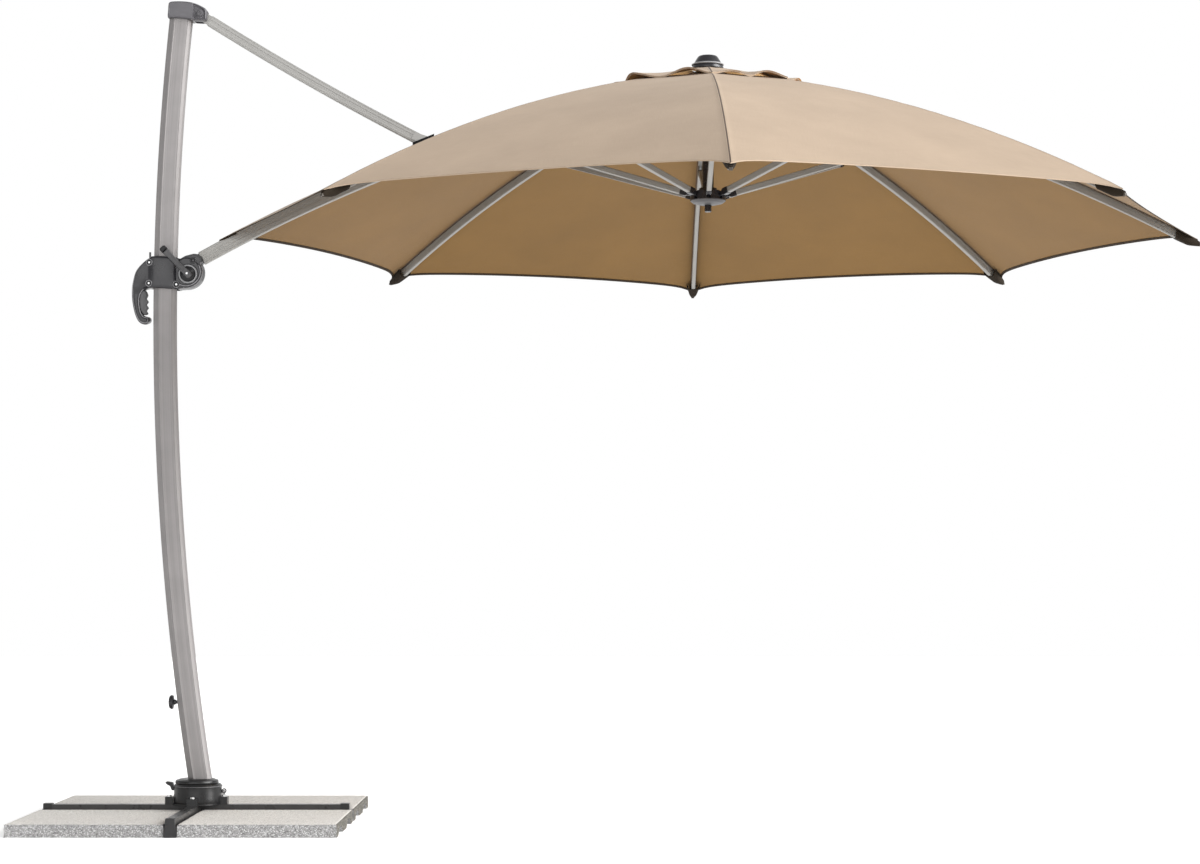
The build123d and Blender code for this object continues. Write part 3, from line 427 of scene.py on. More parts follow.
def lathe(name, prof, centre, mats, seg=96, face_mat=None, axis="Z", sharp=30):
    """Profile of (r, h) turned about a line through centre; open ends on the axis are closed."""
    prof = np.asarray(prof, float)
    V, F, fm, uv = [], [], [], []
    rows = []
    for r, h in prof:
        if r < 1e-6:
            rows.append([len(V)])
            V.append((0, 0, h))
        else:
            rows.append(list(range(len(V), len(V) + seg)))
            for k in range(seg):
                t = 2 * math.pi * k / seg
                V.append((r * math.cos(t), r * math.sin(t), h))
    closed = len(prof)
    for i in range(closed - 1):
        a, b = rows[i], rows[i + 1]
        for k in range(seg):
            l = (k + 1) % seg
            if len(a) == 1 and len(b) == 1:
                continue
            if len(a) == 1:
                F.append((a[0], b[l], b[k]))
            elif len(b) == 1:
                F.append((a[k], a[l], b[0]))
            else:
                F.append((a[k], a[l], b[l], b[k]))
            fm.append(face_mat[i] if face_mat is not None else 0)
    V = np.array(V)
    if axis == "Y":
        V = V[:, [0, 2, 1]]
    elif axis == "X":
        V = V[:, [2, 0, 1]]
    V = V + np.array(centre)
    o = obj_from(name, V, F, mats, face_mat=fm, sharp=sharp)
    bm = bmesh.new()
    bm.from_mesh(o.data)
    bmesh.ops.recalc_face_normals(bm, faces=bm.faces)
    bm.to_mesh(o.data)
    bm.free()
    return o


def resample(loop, step, closed=True):
    loop = np.asarray(loop, float)
    q = np.vstack([loop, loop[:1]]) if closed else loop
    s = np.concatenate([[0], np.cumsum(np.linalg.norm(np.diff(q, axis=0), axis=1))])
    n = max(3, int(round(s[-1] / step)))
    t = np.linspace(0, s[-1], n, endpoint=not closed)
    return np.stack([np.interp(t, s, q[:, 0]), np.interp(t, s, q[:, 1])], 1)


def catmull(points, per=8, closed=True):
    p = np.asarray(points, float)
    n = len(p)
    out = []
    rng_ = range(n) if closed else range(n - 1)
    for i in rng_:
        if closed:
            a, b, c, d = p[i - 1], p[i], p[(i + 1) % n], p[(i + 2) % n]
        else:
            a, b, c, d = p[max(i - 1, 0)], p[i], p[i + 1], p[min(i + 2, n - 1)]
        for k in range(per):
            t = k / per
            out.append(0.5 * ((2 * b) + (-a + c) * t + (2 * a - 5 * b + 4 * c - d) * t * t + (-a + 3 * b - 3 * c + d) * t ** 3))
    if not closed:
        out.append(p[-1])
    return np.array(out)


def signed(pts, loop):
    """Distance to a closed loop, positive inside."""
    pts, loop = np.asarray(pts, float), np.asarray(loop, float)
    a, b = loop, np.roll(loop, -1, axis=0)
    ab = b - a
    L2 = np.maximum((ab ** 2).sum(1), 1e-12)
    best = np.full(len(pts), 1e9)
    inside = np.zeros(len(pts), bool)
    for s in range(0, len(pts), 2000):
        p = pts[s:s + 2000]
        t = np.clip(((p[:, None] - a) * ab).sum(2) / L2, 0, 1)
        c = a + t[..., None] * ab
        best[s:s + 2000] = np.sqrt(((p[:, None] - c) ** 2).sum(2)).min(1)
        y = p[:, 1][:, None]
        cond = (a[:, 1] > y) != (b[:, 1] > y)
        xint = a[:, 0] + (y - a[:, 1]) * ab[:, 0] / np.where(np.abs(ab[:, 1]) < 1e-12, 1e-12, ab[:, 1])
        inside[s:s + 2000] = (cond & (p[:, 0][:, None] < xint)).sum(1) % 2 == 1
    return np.where(inside, best, -best)


def sstep(x, a, b):
    t = np.clip((x - a) / (b - a), 0, 1)
    return t * t * (3 - 2 * t)


def relief(name, loop, top, bottom, place_fn, mats, step=.0028, edge=.0022, rings=(.0003, .0009, .0018, .0032, .005), marks=(), holes=(), sharp=40, mat_fn=None):
    """A plate with outline loop: top(p, d) and bottom(p, d) give its two heights, d the distance from the outline."""
    loop = resample(loop, edge)
    nxt, prv = np.roll(loop, -1, 0), np.roll(loop, 1, 0)
    tang = nxt - prv
    nrm = np.stack([-tang[:, 1], tang[:, 0]], 1)
    nrm /= np.maximum(np.linalg.norm(nrm, axis=1)[:, None], 1e-12)
    if (signed(loop + nrm * 1e-4, loop) < 0).mean() > 0.5:
        nrm = -nrm
    hole_loops = [resample(h, edge) for h in holes]
    extra = []
    for off in rings:
        q = loop + nrm * off
        extra.append(q[signed(q, loop) > off * 0.93])
    for mk in marks:
        q = np.asarray(mk, float)
        extra.append(q[signed(q, loop) > edge * 0.4])
    feats = np.vstack(extra) if extra else np.zeros((0, 2))
    lo, hi = loop.min(0), loop.max(0)
    xs, ys = np.arange(lo[0], hi[0], step), np.arange(lo[1], hi[1], step * 0.866)
    g = np.array([(x + (step / 2 if j % 2 else 0), y) for j, y in enumerate(ys) for x in xs])
    g = g[signed(g, loop) > (max(rings) if rings else 0) + step * 0.45]
    if marks:
        mk = np.vstack([np.asarray(m, float) for m in marks])
        keep = np.ones(len(g), bool)
        for s in range(0, len(g), 1000):
            dd = np.sqrt(((g[s:s + 1000, None] - mk[None]) ** 2).sum(2)).min(1)
            keep[s:s + 1000] = dd > step * 0.45
        g = g[keep]
    pts = np.vstack([loop] + hole_loops + [feats, g])
    for h in hole_loops:
        d = signed(pts, h)
        ok = d < 1e-5
        ok[:len(loop) + sum(len(x) for x in hole_loops)] = True
        pts = pts[ok]
    edges, base = [], 0
    for lp in [loop] + hole_loops:
        n = len(lp)
        edges += [(base + i, base + (i + 1) % n) for i in range(n)]
        base += n
    vv, _, tri, _, _, _ = delaunay_2d_cdt([Vector(p) for p in pts], edges, [], 1, 1e-7)
    P2 = np.array([(v.x, v.y) for v in vv])
    tri = [t for t in tri if len(t) == 3]
    cen = np.array([P2[list(t)].mean(0) for t in tri])
    ok = signed(cen, loop) > 0
    for h in hole_loops:
        ok &= signed(cen, h) < 0
    tri = [t for t, k in zip(tri, ok) if k]
    d = signed(P2, loop)
    for h in hole_loops:
        d = np.minimum(d, -signed(P2, h))
    d = np.maximum(d, 0)
    ht, hb = top(P2, d), bottom(P2, d)
    n = len(P2)
    V = [place_fn(p[0], p[1], h) for p, h in zip(P2, ht)] + [place_fn(p[0], p[1], h) for p, h in zip(P2, hb)]
    F = [tuple(t) for t in tri] + [tuple(n + i for i in reversed(t)) for t in tri]
    count = {}
    for t in tri:
        for i in range(3):
            e = (t[i], t[(i + 1) % 3])
            count[tuple(sorted(e))] = None if tuple(sorted(e)) in count else e
    for e in count.values():
        if e:
            F.append((e[1], e[0], n + e[0], n + e[1]))
    fm = None
    if mat_fn is not None:
        fm = list(mat_fn(cen[ok])) + [0] * (len(F) - len(tri))
    o = obj_from(name, V, F, mats, face_mat=fm, sharp=sharp)
    bm = bmesh.new()
    bm.from_mesh(o.data)
    loose = [v for v in bm.verts if not v.link_faces]
    bmesh.ops.delete(bm, geom=loose, context="VERTS")
    bmesh.ops.recalc_face_normals(bm, faces=bm.faces)
    bm.to_mesh(o.data)
    bm.free()
    return o


def circle(c, r, n=28):
    t = np.linspace(0, 2 * math.pi, n, endpoint=False)
    return np.stack([c[0] + r * np.cos(t), c[1] + r * np.sin(t)], 1)


def skin(node, mat, bevel=0.0, seg=2):
    """A CAD node that stays, with a procedural material."""
    o = NODES[node]
    o.data.materials.clear()
    o.data.materials.append(M[mat])
    if bevel:
        add_bevel(o, bevel, seg, 40)
    return o


# ------------------------------------------------------------------ mast, strut, arm
def mirror_prof(front):
    """Front half of a profile, from -a to +a, mirrored to the back."""
    f = [tuple(p) for p in front]
    return np.array(f + [(a, -b) for a, b in reversed(f)])


def arc_path(centre, radius, a0, a1, n):
    t = np.linspace(a0, a1, n)
    p = np.stack([centre[0] + radius * np.cos(t), 0 * t, centre[1] + radius * np.sin(t)], 1)
    out = np.stack([np.cos(t), 0 * t, np.sin(t)], 1)
    return p, out


FRONT = np.array([0, -1.0, 0])
mast_prof = mirror_prof([(-.0375, .0005), (-.0375, .0105), (-.0370, .0128), (-.0355, .0146), (-.0270, .0212), (-.0192, .0266), (-.0183, .0275), (-.0178, .0286), (-.0168, .0290), (-.0156, .0288), (-.0150, .0280), (-.0140, .0277),
                         (-.0060, .0281), (.0060, .0283), (.0180, .0281), (.0252, .0277), (.0258, .0270), (.0263, .0262), (.0270, .0262), (.0275, .0269), (.0282, .0268), (.0330, .0222), (.0362, .0186), (.0372, .0168), (.0375, .0148), (.0375, .0005)])
ma0 = math.pi + math.asin((MAST_C[1] - .100) / MAST_R)
ma1 = math.pi - math.asin((2.7375 - MAST_C[1]) / MAST_R)
mp, mo = arc_path(MAST_C, MAST_R, ma0, ma1, 90)
mast = sweep("mast_profile", mast_prof, mp, -mo, np.repeat(FRONT[None], len(mp), 0), [M["mast"]], sharp=24)
place(mast, "mast", "mast_aluminium", "mast_tube")

s0, s1 = np.array([-.006, 2.700]), np.array([.780, 2.2525])
sm, sl = (s0 + s1) / 2, float(np.linalg.norm(s1 - s0))
sn = np.array([-(s1 - s0)[1], (s1 - s0)[0]]) / sl
STRUT_C = sm + sn * math.sqrt(STRUT_R ** 2 - (sl / 2) ** 2)


def strut_ang(x, z):
    return math.atan2(z - STRUT_C[1], x - STRUT_C[0])


def box_prof(h, w, r, grooves, lip=0.0):
    """Half heights along a, half widths along b; grooves are (a, width, depth) on the side faces."""
    side = []
    side.append((-h, 0.0005))
    for k in range(5):
        t = math.pi / 2 * k / 4
        side.append((-h + r - r * math.cos(t), w - r + r * math.sin(t)))
    if lip:
        side += [(-h + lip, w), (-h + lip + .0006, w - .0007), (-h + lip + .0014, w - .0007), (-h + lip + .0020, w - .0001)]
    for a, wd, dp in sorted(grooves):
        side += [(a - wd / 2 - .0004, w), (a - wd / 2 + .0003, w - dp), (a + wd / 2 - .0003, w - dp), (a + wd / 2 + .0004, w)]
    for k in range(5):
        t = math.pi / 2 * k / 4
        side.append((h - r + r * math.sin(t), w - r + r * math.cos(t)))
    side.append((h, 0.0005))
    return mirror_prof(side)


sp, so = arc_path(STRUT_C, STRUT_R, strut_ang(.024, 2.682), strut_ang(.758, 2.268), 40)
strut = sweep("strut_profile", box_prof(.018, .014, .003, [(0, .007, .0011), (-.0125, .0012, .0005), (.0125, .0012, .0005)]), sp, -so, np.repeat(FRONT[None], len(sp), 0), [M["frame_bare"]], sharp=24)
place(strut, "strut", "frame_aluminium", "strut_tube")

ARM_C = (HUB_X - CAN_C[0], CAN_C[1])
arm_r = R_RIB - ARM_H / 2


def arm_ang(x, r=arm_r):
    return math.pi - math.acos((ARM_C[0] - x) / r)


ap, ao = arc_path(ARM_C, arm_r, arm_ang(.002), arm_ang(1.600), 80)
arm = sweep("arm_profile", box_prof(.0225, .013, .003, [(0, .009, .0011), (.0155, .0012, .0005), (-.0125, .0012, .0005)], lip=.0042), ap, ao, np.repeat(FRONT[None], len(ap), 0), [M["frame"]], sharp=24)
place(arm, "arm", "frame_aluminium", "arm_tube")


# ------------------------------------------------------------------ ribs and braces
def rib_frame(deg):
    c, s = math.cos(math.radians(deg)), math.sin(math.radians(deg))
    return np.array([c, s, 0.0]), np.array([-s, c, 0.0])


def rp(deg, r, z, t=0.0):
    out, tan = rib_frame(deg)
    return np.array([HUB_X, 0, 0]) + out * r + tan * t + np.array([0, 0, z])


def prism(name, loop, half, put, mats, bevel=.0008, shift=0.0):
    """Outline (p, q) given thickness 2*half along the plate's normal, edges eased."""
    loop = np.asarray(loop, float)
    n = len(loop)
    V = [put(p, q, shift + half) for p, q in loop] + [put(p, q, shift - half) for p, q in loop]
    F = [tuple(range(n)), tuple(range(2 * n - 1, n - 1, -1))] + [(i, n + i, n + (i + 1) % n, (i + 1) % n) for i in range(n)]
    o = obj_from(name, V, F, mats, sharp=30)
    bm = bmesh.new()
    bm.from_mesh(o.data)
    bmesh.ops.recalc_face_normals(bm, faces=bm.faces)
    bm.to_mesh(o.data)
    bm.free()
    if bevel:
        add_bevel(o, bevel, 3, 30)
    return o


def join(name, objs):
    """Meshes with their modifiers applied, as one piece."""
    dg = bpy.context.evaluated_depsgraph_get()
    bm = bmesh.new()
    mats = []
    for o in objs:
        dg.update()
        me = bpy.data.meshes.new_from_object(o.evaluated_get(dg))
        remap = []
        for m in me.materials:
            if m not in mats:
                mats.append(m)
            remap.append(mats.index(m))
        for p in me.polygons:
            p.material_index = remap[p.material_index] if remap else 0
        if not me.uv_layers:
            me.uv_layers.new(name="UVMap")
        bm.from_mesh(me)
        bpy.data.meshes.remove(me)
    me = bpy.data.meshes.new(name)
    bm.to_mesh(me)
    bm.free()
    for m in mats:
        me.materials.append(m)
    for o in objs:
        bpy.data.objects.remove(o)
    o = bpy.data.objects.new(name, me)
    scene.collection.objects.link(o)
    return o


RIBS = {}
for n in range(8):
    if n != 4:
        RIBS[n] = "rib_%d" % (n + 1 if n < 4 else n)
RIB_BODY = {n: RIBS.get(n, "arm") for n in range(8)}

bl = math.hypot(MID_R - HINGE_R, MID_Z - LOW_Z)
bu = ((MID_R - HINGE_R) / bl, (MID_Z - LOW_Z) / bl)
rib_prof = box_prof(.0135, .0075, .0030, [(.0040, .0020, .0009)], lip=.0056)
brace_prof = box_prof(.0102, .0082, .0026, [(.0020, .0026, .0008)], lip=.0044)
for n in range(8):
    deg = 45 * n
    out, tan = rib_frame(deg)
    put = lambda p, q, h, deg=deg: rp(deg, p, q, h)
    if n != 4:
        name = RIBS[n]
        rc = R_RIB - RIB_H / 2
        rr = np.linspace(.088, R_TIP - .034, 60)
        zz = canopy_z(rr, rc)
        path = np.array([rp(deg, r, z) for r, z in zip(rr, zz)])
        nn = np.stack([(rr - CAN_C[0]) / rc, (zz - CAN_C[1]) / rc], 1)
        A = nn[:, :1] * out[None] + nn[:, 1:] * np.array([0, 0, 1.0])[None]
        tube = sweep(name + "_tube", rib_prof, path, A, np.repeat(tan[None], len(rr), 0), [M["frame"]], sharp=24)
        place(tube, name, "frame_aluminium", name)
        zc = lambda r: float(canopy_z(r, rc))
        tongue = [(HINGE_R + .0125 * math.cos(t), HINGE_Z + .0125 * math.sin(t)) for t in np.linspace(math.pi / 2, 3 * math.pi / 2, 14)]
        tongue += [(.070, zc(.070) - .0118), (.100, zc(.100) - .0110), (.100, zc(.100) + .0110), (.070, zc(.070) + .0112)]
        o1 = prism(name + "_tongue", tongue, .0070, put, [M["frame_bare"]], .0010)
        zb = lambda r: float(canopy_z(r, R_RIB - RIB_H))
        clip = fillet_loop([(MID_R - .017, zb(MID_R - .017) + .002), (MID_R + .017, zb(MID_R + .017) + .002), (MID_R + .0078, MID_Z), (MID_R + .004, MID_Z - .0072), (MID_R - .004, MID_Z - .0072), (MID_R - .0078, MID_Z)], .003, 3)
        o2 = prism(name + "_clip_a", clip, .0012, put, [M["dark"]], .0005, shift=.0062)
        o3 = prism(name + "_clip_b", clip, .0012, put, [M["dark"]], .0005, shift=-.0062)
        pin = prism(name + "_clip_pin", circle((MID_R, MID_Z), .0030, 20), .0088, put, [M["steel"]], .0005)
        tipz = lambda r, off: float(canopy_z(r, R_RIB + off))
        tip = fillet_loop([(R_TIP - .040, tipz(R_TIP - .040, -.004)), (R_TIP + .0105, tipz(R_TIP + .0105, -.0035)), (R_TIP + .0115, tipz(R_TIP + .0115, -.0080)), (R_TIP + .0090, tipz(R_TIP + .0090, -.0118)), (R_TIP - .040, tipz(R_TIP - .040, -.020))], .0025, 4)
        o4 = prism(name + "_endplug", tip, .0056, put, [M["tipcap"]], .0012)
        fit = join(name + "_fittings", [o1, o2, o3, pin, o4])
        place(fit, name, "frame_aluminium", name)
    up = ARM_UP if n == 4 else 0
    bname = "brace_%d" % (n + 1)

    def along(t, off, up=up):
        return (HINGE_R + bu[0] * t - bu[1] * off, LOW_Z + up + bu[1] * t + bu[0] * off)

    pts = [along(t, 0) for t in np.linspace(.030, bl - .030, 12)]
    path = np.array([rp(deg, r, z) for r, z in pts])
    A = np.repeat((-bu[1] * out + np.array([0, 0, bu[0]]))[None], len(path), 0)
    tube = sweep(bname + "_tube", brace_prof, path, A, np.repeat(tan[None], len(path), 0), [M["frame"]], sharp=24)
    place(tube, bname, "frame_aluminium", bname)
    knuckles = []
    for k, (t0, d) in enumerate(((0, 1), (bl, -1))):
        eye = [along(t0 + d * .0064 * math.cos(t) * -1, .0064 * math.sin(t)) for t in np.linspace(-math.pi / 2, math.pi / 2, 12)]
        if d < 0:
            eye = eye[::-1]
            body = eye + [along(t0 + d * .034, -.0064), along(t0 + d * .034, .0064)]
        else:
            body = eye + [along(t0 + d * .034, .0064), along(t0 + d * .034, -.0064)]
        knuckles.append(prism("%s_k%d" % (bname, k), body, .0046, put, [M["dark"]], .0009))
        sl0, sl1 = (.020, .046) if k == 0 else (.022, .044)
        cuff = [along(t0 + d * sl0, -.0068), along(t0 + d * (sl0 + .006), -.0114), along(t0 + d * sl1, -.0114), along(t0 + d * sl1, .0114), along(t0 + d * (sl0 + .006), .0114), along(t0 + d * sl0, .0068)]
        knuckles.append(prism("%s_c%d" % (bname, k), fillet_loop(cuff, .0012, 2), .0093, put, [M["dark"]], .0014))
    o = join(bname + "_knuckles", knuckles)
    place(o, bname, "dark_plastic", bname)


# ------------------------------------------------------------------ canopy
K8 = math.cos(math.pi / 8)
S8 = math.sin(math.pi / 8)
SCALLOP = .030
EAR = .027
SAG = .004
VENT_R = .352
VALLEYS = [-120.0, -90.0, -60.0, -30.5, 0.0, 23.7, 49.2, 78.0, 107.0, 136.0, 165.0, 194.0, 220.0, 240.0]


def ripple(p):
    """Slack of the vent hem: one soft crest between two places where it lies on the canopy."""
    a = (math.degrees(math.atan2(p[1], p[0] - HUB_X)) + 90 + 120) % 360 - 120
    for i in range(len(VALLEYS) - 1):
        if VALLEYS[i] <= a < VALLEYS[i + 1]:
            f = (a - VALLEYS[i]) / (VALLEYS[i + 1] - VALLEYS[i])
            skew = f ** (1.0 + 0.25 * math.sin(i * 2.3))
            tall = (0.86 + 0.20 * math.sin(i * 4.1 + 1)) * min(1.0, (VALLEYS[i + 1] - VALLEYS[i]) / 27.0)
            return tall * (0.5 - 0.5 * math.cos(2 * math.pi * skew)) ** 0.85
    return 0.0


def gore_point(mid_deg, r, v, lift=0.0, sag=1.0, scale=R_FAB):
    """Point of the fabric in the gore centred on mid_deg: r is measured on the ribs, v runs from -1 to 1 between them."""
    X, Y = r * K8, v * r * S8
    z = float(canopy_z(r, scale))
    slope = -(r - CAN_C[0]) / (z - CAN_C[1])
    nx, nz = -slope / math.hypot(1, slope), 1 / math.hypot(1, slope)
    w = (1 - v * v)
    rel = (r - R_VENT) / (R_TIP - R_VENT)
    drop = SAG * sag * w ** 1.25 * (0.25 + 0.95 * max(0, rel)) * (1.12 - 0.30 * max(0, rel))
    off = lift - drop
    c, s = math.cos(math.radians(mid_deg)), math.sin(math.radians(mid_deg))
    X += nx * off
    z += nz * off
    return np.array([HUB_X + X * c - Y * s, X * s + Y * c, z])


def edge_r(v, r_out, scallop):
    """Radius parameter at which the hollowed outer edge runs."""
    return r_out - (scallop * (1 - v * v) + (EAR if r_out > 1 else 0.0) * (1 - math.exp(-(1 - abs(v)) / .055))) / K8


def hash2(i, j, k=0):
    x = math.sin(i * 127.1 + j * 311.7 + k * 74.7) * 43758.5453
    return x - math.floor(x)


def vnoise(x, y, k=0):
    i, j = math.floor(x), math.floor(y)
    fx, fy = x - i, y - j
    fx, fy = fx * fx * (3 - 2 * fx), fy * fy * (3 - 2 * fy)
    a, b, c, d = hash2(i, j, k), hash2(i + 1, j, k), hash2(i, j + 1, k), hash2(i + 1, j + 1, k)
    return (a * (1 - fx) + b * fx) * (1 - fy) + (c * (1 - fx) + d * fx) * fy - 0.5


def fabric_panel(name, n, r_in, r_out, scallop, lift, rows, wave=0.0, wave_in=0.0, thick=.0009, slot=None, sag=1.0, tape=.0016, crown=0.0, tape_mat="binding", hang=.0034):
    """Fabric centred on rib n, out to the middle of both gores, as one closed thin sheet with a bound outer edge."""
    deg = 45 * n
    half = [(k / 20) ** 1.15 for k in range(1, 21)]
    near = [(.0030, 0), (.0060, 0), (.0066, 0)]
    cols = [(0.0, 0)] + near + [(.0066, h) for h in half]
    cols = [(-m_, -h) for m_, h in reversed(cols[1:])] + cols
    nc = len(cols)
    top, bot, uv = [], [], []
    for i in range(rows + 1):
        f = i / rows
        rg = r_in + (r_out - r_in) * f
        for met, share in cols:
            u = abs(met) / (rg * S8)
            u = u + (1 - u) * abs(share)
            u = -u if met < 0 else u
            gore = deg + (22.5 if u >= 0 else -22.5)
            v = (-1 + abs(u)) if u >= 0 else (1 - abs(u))
            ro = edge_r(v, r_out, scallop)
            ri = r_in
            if f > 0.965:
                r = ro - (ro - ri) * (1 - f)
            else:
                r = ri + (ro - ri) * f
            p = gore_point(gore, r, v, 0, sag)
            q = gore_point(gore, r + .001, v, 0, sag)
            v2 = v + (.004 if v < 0 else -.004)
            q2 = gore_point(gore, r, v2, 0, sag)
            nn = np.cross(q - p, q2 - p)
            if nn[2] < 0:
                nn = -nn
            nn /= np.linalg.norm(nn)
            seam = .00015 if abs(met) <= .0061 and share == 0 else 0.0
            a = abs(u)
            # loose edge between the seams, as on the crown
            w = (wave * ripple(p) if wave else 0) * max(0, (f - 0.42) / 0.58) ** 1.7 + crown * (1 - f) ** 1.4
            ph = math.sin(math.pi * (1 - abs(v)) * 1.0)
            pucker = .0007 * vnoise(r * 30, u * 60, n) * math.exp(-(a / .05) ** 2) + .0016 * vnoise(p[0] * 4 + 3, p[1] * 4, 5) * (1 - v * v)
            hem = .0006 * math.sin(math.pi * min(1, max(0, (f - .955) / .02)))
            base = p + nn * (lift + w + seam + pucker + hem)
            top.append(base + nn * thick / 2)
            bot.append(base - nn * (thick / 2 + seam))
            uv.append((u * r * S8, r))
    V = top + bot
    N = len(top)
    F, fm, fuv = [], [], []

    def quad(ids, m):
        F.append(ids)
        fm.append(m)
        fuv.extend(uv[i % N] for i in ids)

    def in_slot(i, j):
        if slot is None:
            return False
        c = (top[i * nc + j] + top[(i + 1) * nc + j + 1]) / 2
        return slot[0] < c[0] < slot[1] and abs(c[1]) < slot[2]

    gone = {(i, j) for i in range(rows) for j in range(nc - 1) if in_slot(i, j)}
    for i in range(rows):
        for j in range(nc - 1):
            if (i, j) in gone:
                continue
            a, b, c, d = i * nc + j, i * nc + j + 1, (i + 1) * nc + j + 1, (i + 1) * nc + j
            quad((a, d, c, b), 0)
            quad((N + a, N + b, N + c, N + d), 1)
            for (p, q), (x, y) in (((a, b), (i - 1, j)), ((c, d), (i + 1, j)), ((b, c), (i, j + 1)), ((d, a), (i, j - 1))):
                if not (0 <= x < rows and 0 <= y < nc - 1) or (x, y) in gone:
                    quad((p, q, N + q, N + p), 2 if x == rows else 1)
    # underside faces: painted shade copy of the fabric, on the vent cap the painted light copy
    o = obj_from(name, V, F, [M["top"], M["vent_under_lit"] if wave else M["under"], M["top"]], face_mat=fm, uvs=fuv, sharp=55)
    bm = bmesh.new()
    bm.from_mesh(o.data)
    bmesh.ops.delete(bm, geom=[v for v in bm.verts if not v.link_faces], context="VERTS")
    bmesh.ops.recalc_face_normals(bm, faces=bm.faces)
    bm.to_mesh(o.data)
    bm.free()
    # binding tape under the outer edge, dark as painted shade; on the front gores and the vent its outer faces take the
    # canopy's colour
    strips = []
    for sgn in (1, -1):
        gore = deg + 22.5 * sgn
        vs = np.linspace(-1, 0, 26) if sgn > 0 else np.linspace(1, 0, 26)
        rowsv, uvs, faces = [], [], []
        for v in vs:
            ro = edge_r(v, r_out, scallop)
            p = gore_point(gore, ro, v, 0, sag)
            w = wave * ripple(p) if wave else 0
            up_ = np.array([0, 0, 1.0])
            pin_ = gore_point(gore, ro - tape / .0016 * .0085, v, 0, sag)
            p = p + up_ * (lift + w)
            pin_ = pin_ + up_ * (lift + w * (1 - .0085 / max(.02, (r_out - r_in)) * 1.6))
            ext = (p - pin_)
            ext /= np.linalg.norm(ext)
            rowsv += [pin_ - up_ * .0007, pin_ - up_ * (.0012 + hang * .45), p + ext * .0006 - up_ * hang, p + ext * .0012 - up_ * hang * .55, p + ext * .0006 + up_ * .0001, p - ext * .0004 - up_ * .0005]
            uvs += [(v * ro, k * .003) for k in range(6)]
        m = len(vs)
        for i in range(m - 1):
            for k in range(6):
                faces.append((i * 6 + k, i * 6 + (k + 1) % 6, (i + 1) * 6 + (k + 1) % 6, (i + 1) * 6 + k))
        # painted shade: dark binding all round on the side and far gores, where the rim shows as a dark outline
        fmat = ([0, 0, 1, 1, 1, 1] if wave or 225 < gore % 360 < 315 else [0, 0, 0, 0, 0, 0]) * (m - 1) + [0, 0]
        faces += [tuple(range(5, -1, -1)), tuple((m - 1) * 6 + k for k in range(6))]
        s_ = obj_from("%s_tape%d" % (name, sgn), rowsv, faces, [M[tape_mat], M["top"]], face_mat=fmat, uvs=None, sharp=50)
        bm = bmesh.new()
        bm.from_mesh(s_.data)
        bmesh.ops.recalc_face_normals(bm, faces=bm.faces)
        bm.to_mesh(s_.data)
        bm.free()
        strips.append(s_)
    tape_o = join(name + "_binding", strips)
    return o, tape_o


def panel_area(o):
    return sum(p.area for p in o.data.polygons) / 2


for n in range(8):
    body = RIB_BODY[n]
    tag = "n%d" % (n + 1)
    out, tan = rib_frame(45 * n)
    slot = (.737, .842, .022) if n == 4 else None
    main, tape_o = fabric_panel("canopy_panel_%d" % (n + 1), n, R_VENT, R_TIP, SCALLOP, 0.0, 84 if n == 4 else 64, slot=slot)
    vent, vtape = fabric_panel("vent_panel_%d" % (n + 1), n, .0525, VENT_R, .004, .0044, 32, wave=.0225, sag=0.35, crown=.0110, tape=.0008, tape_mat="top", hang=.0050)
    for o, node in ((main, "canopy"), (tape_o, "canopy"), (vent, "vent_cap"), (vtape, "vent_cap")):
        place(o, body, "canopy_fabric", node)
        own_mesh(o)
    print("AREA", n, round(panel_area(main), 4), round(panel_area(vent), 4))

# crown piece: fabric collar on the hub, under the vent cap
cr = [(.030, canopy_z(.030, R_FAB) + .0035), (.050, canopy_z(.050, R_FAB) + .0030), (.068, canopy_z(.068, R_FAB) + .0020), (.068, canopy_z(.068, R_FAB) + .0007), (.050, canopy_z(.050, R_FAB) + .0017), (.030, canopy_z(.030, R_FAB) + .0022), (.030, canopy_z(.030, R_FAB) + .0035)]
crown = tidy(lathe("crown_collar", cr, (HUB_X, 0, 0), [M["under"]], 64))
place(crown, "hub", "canopy_fabric", "vent_cap")


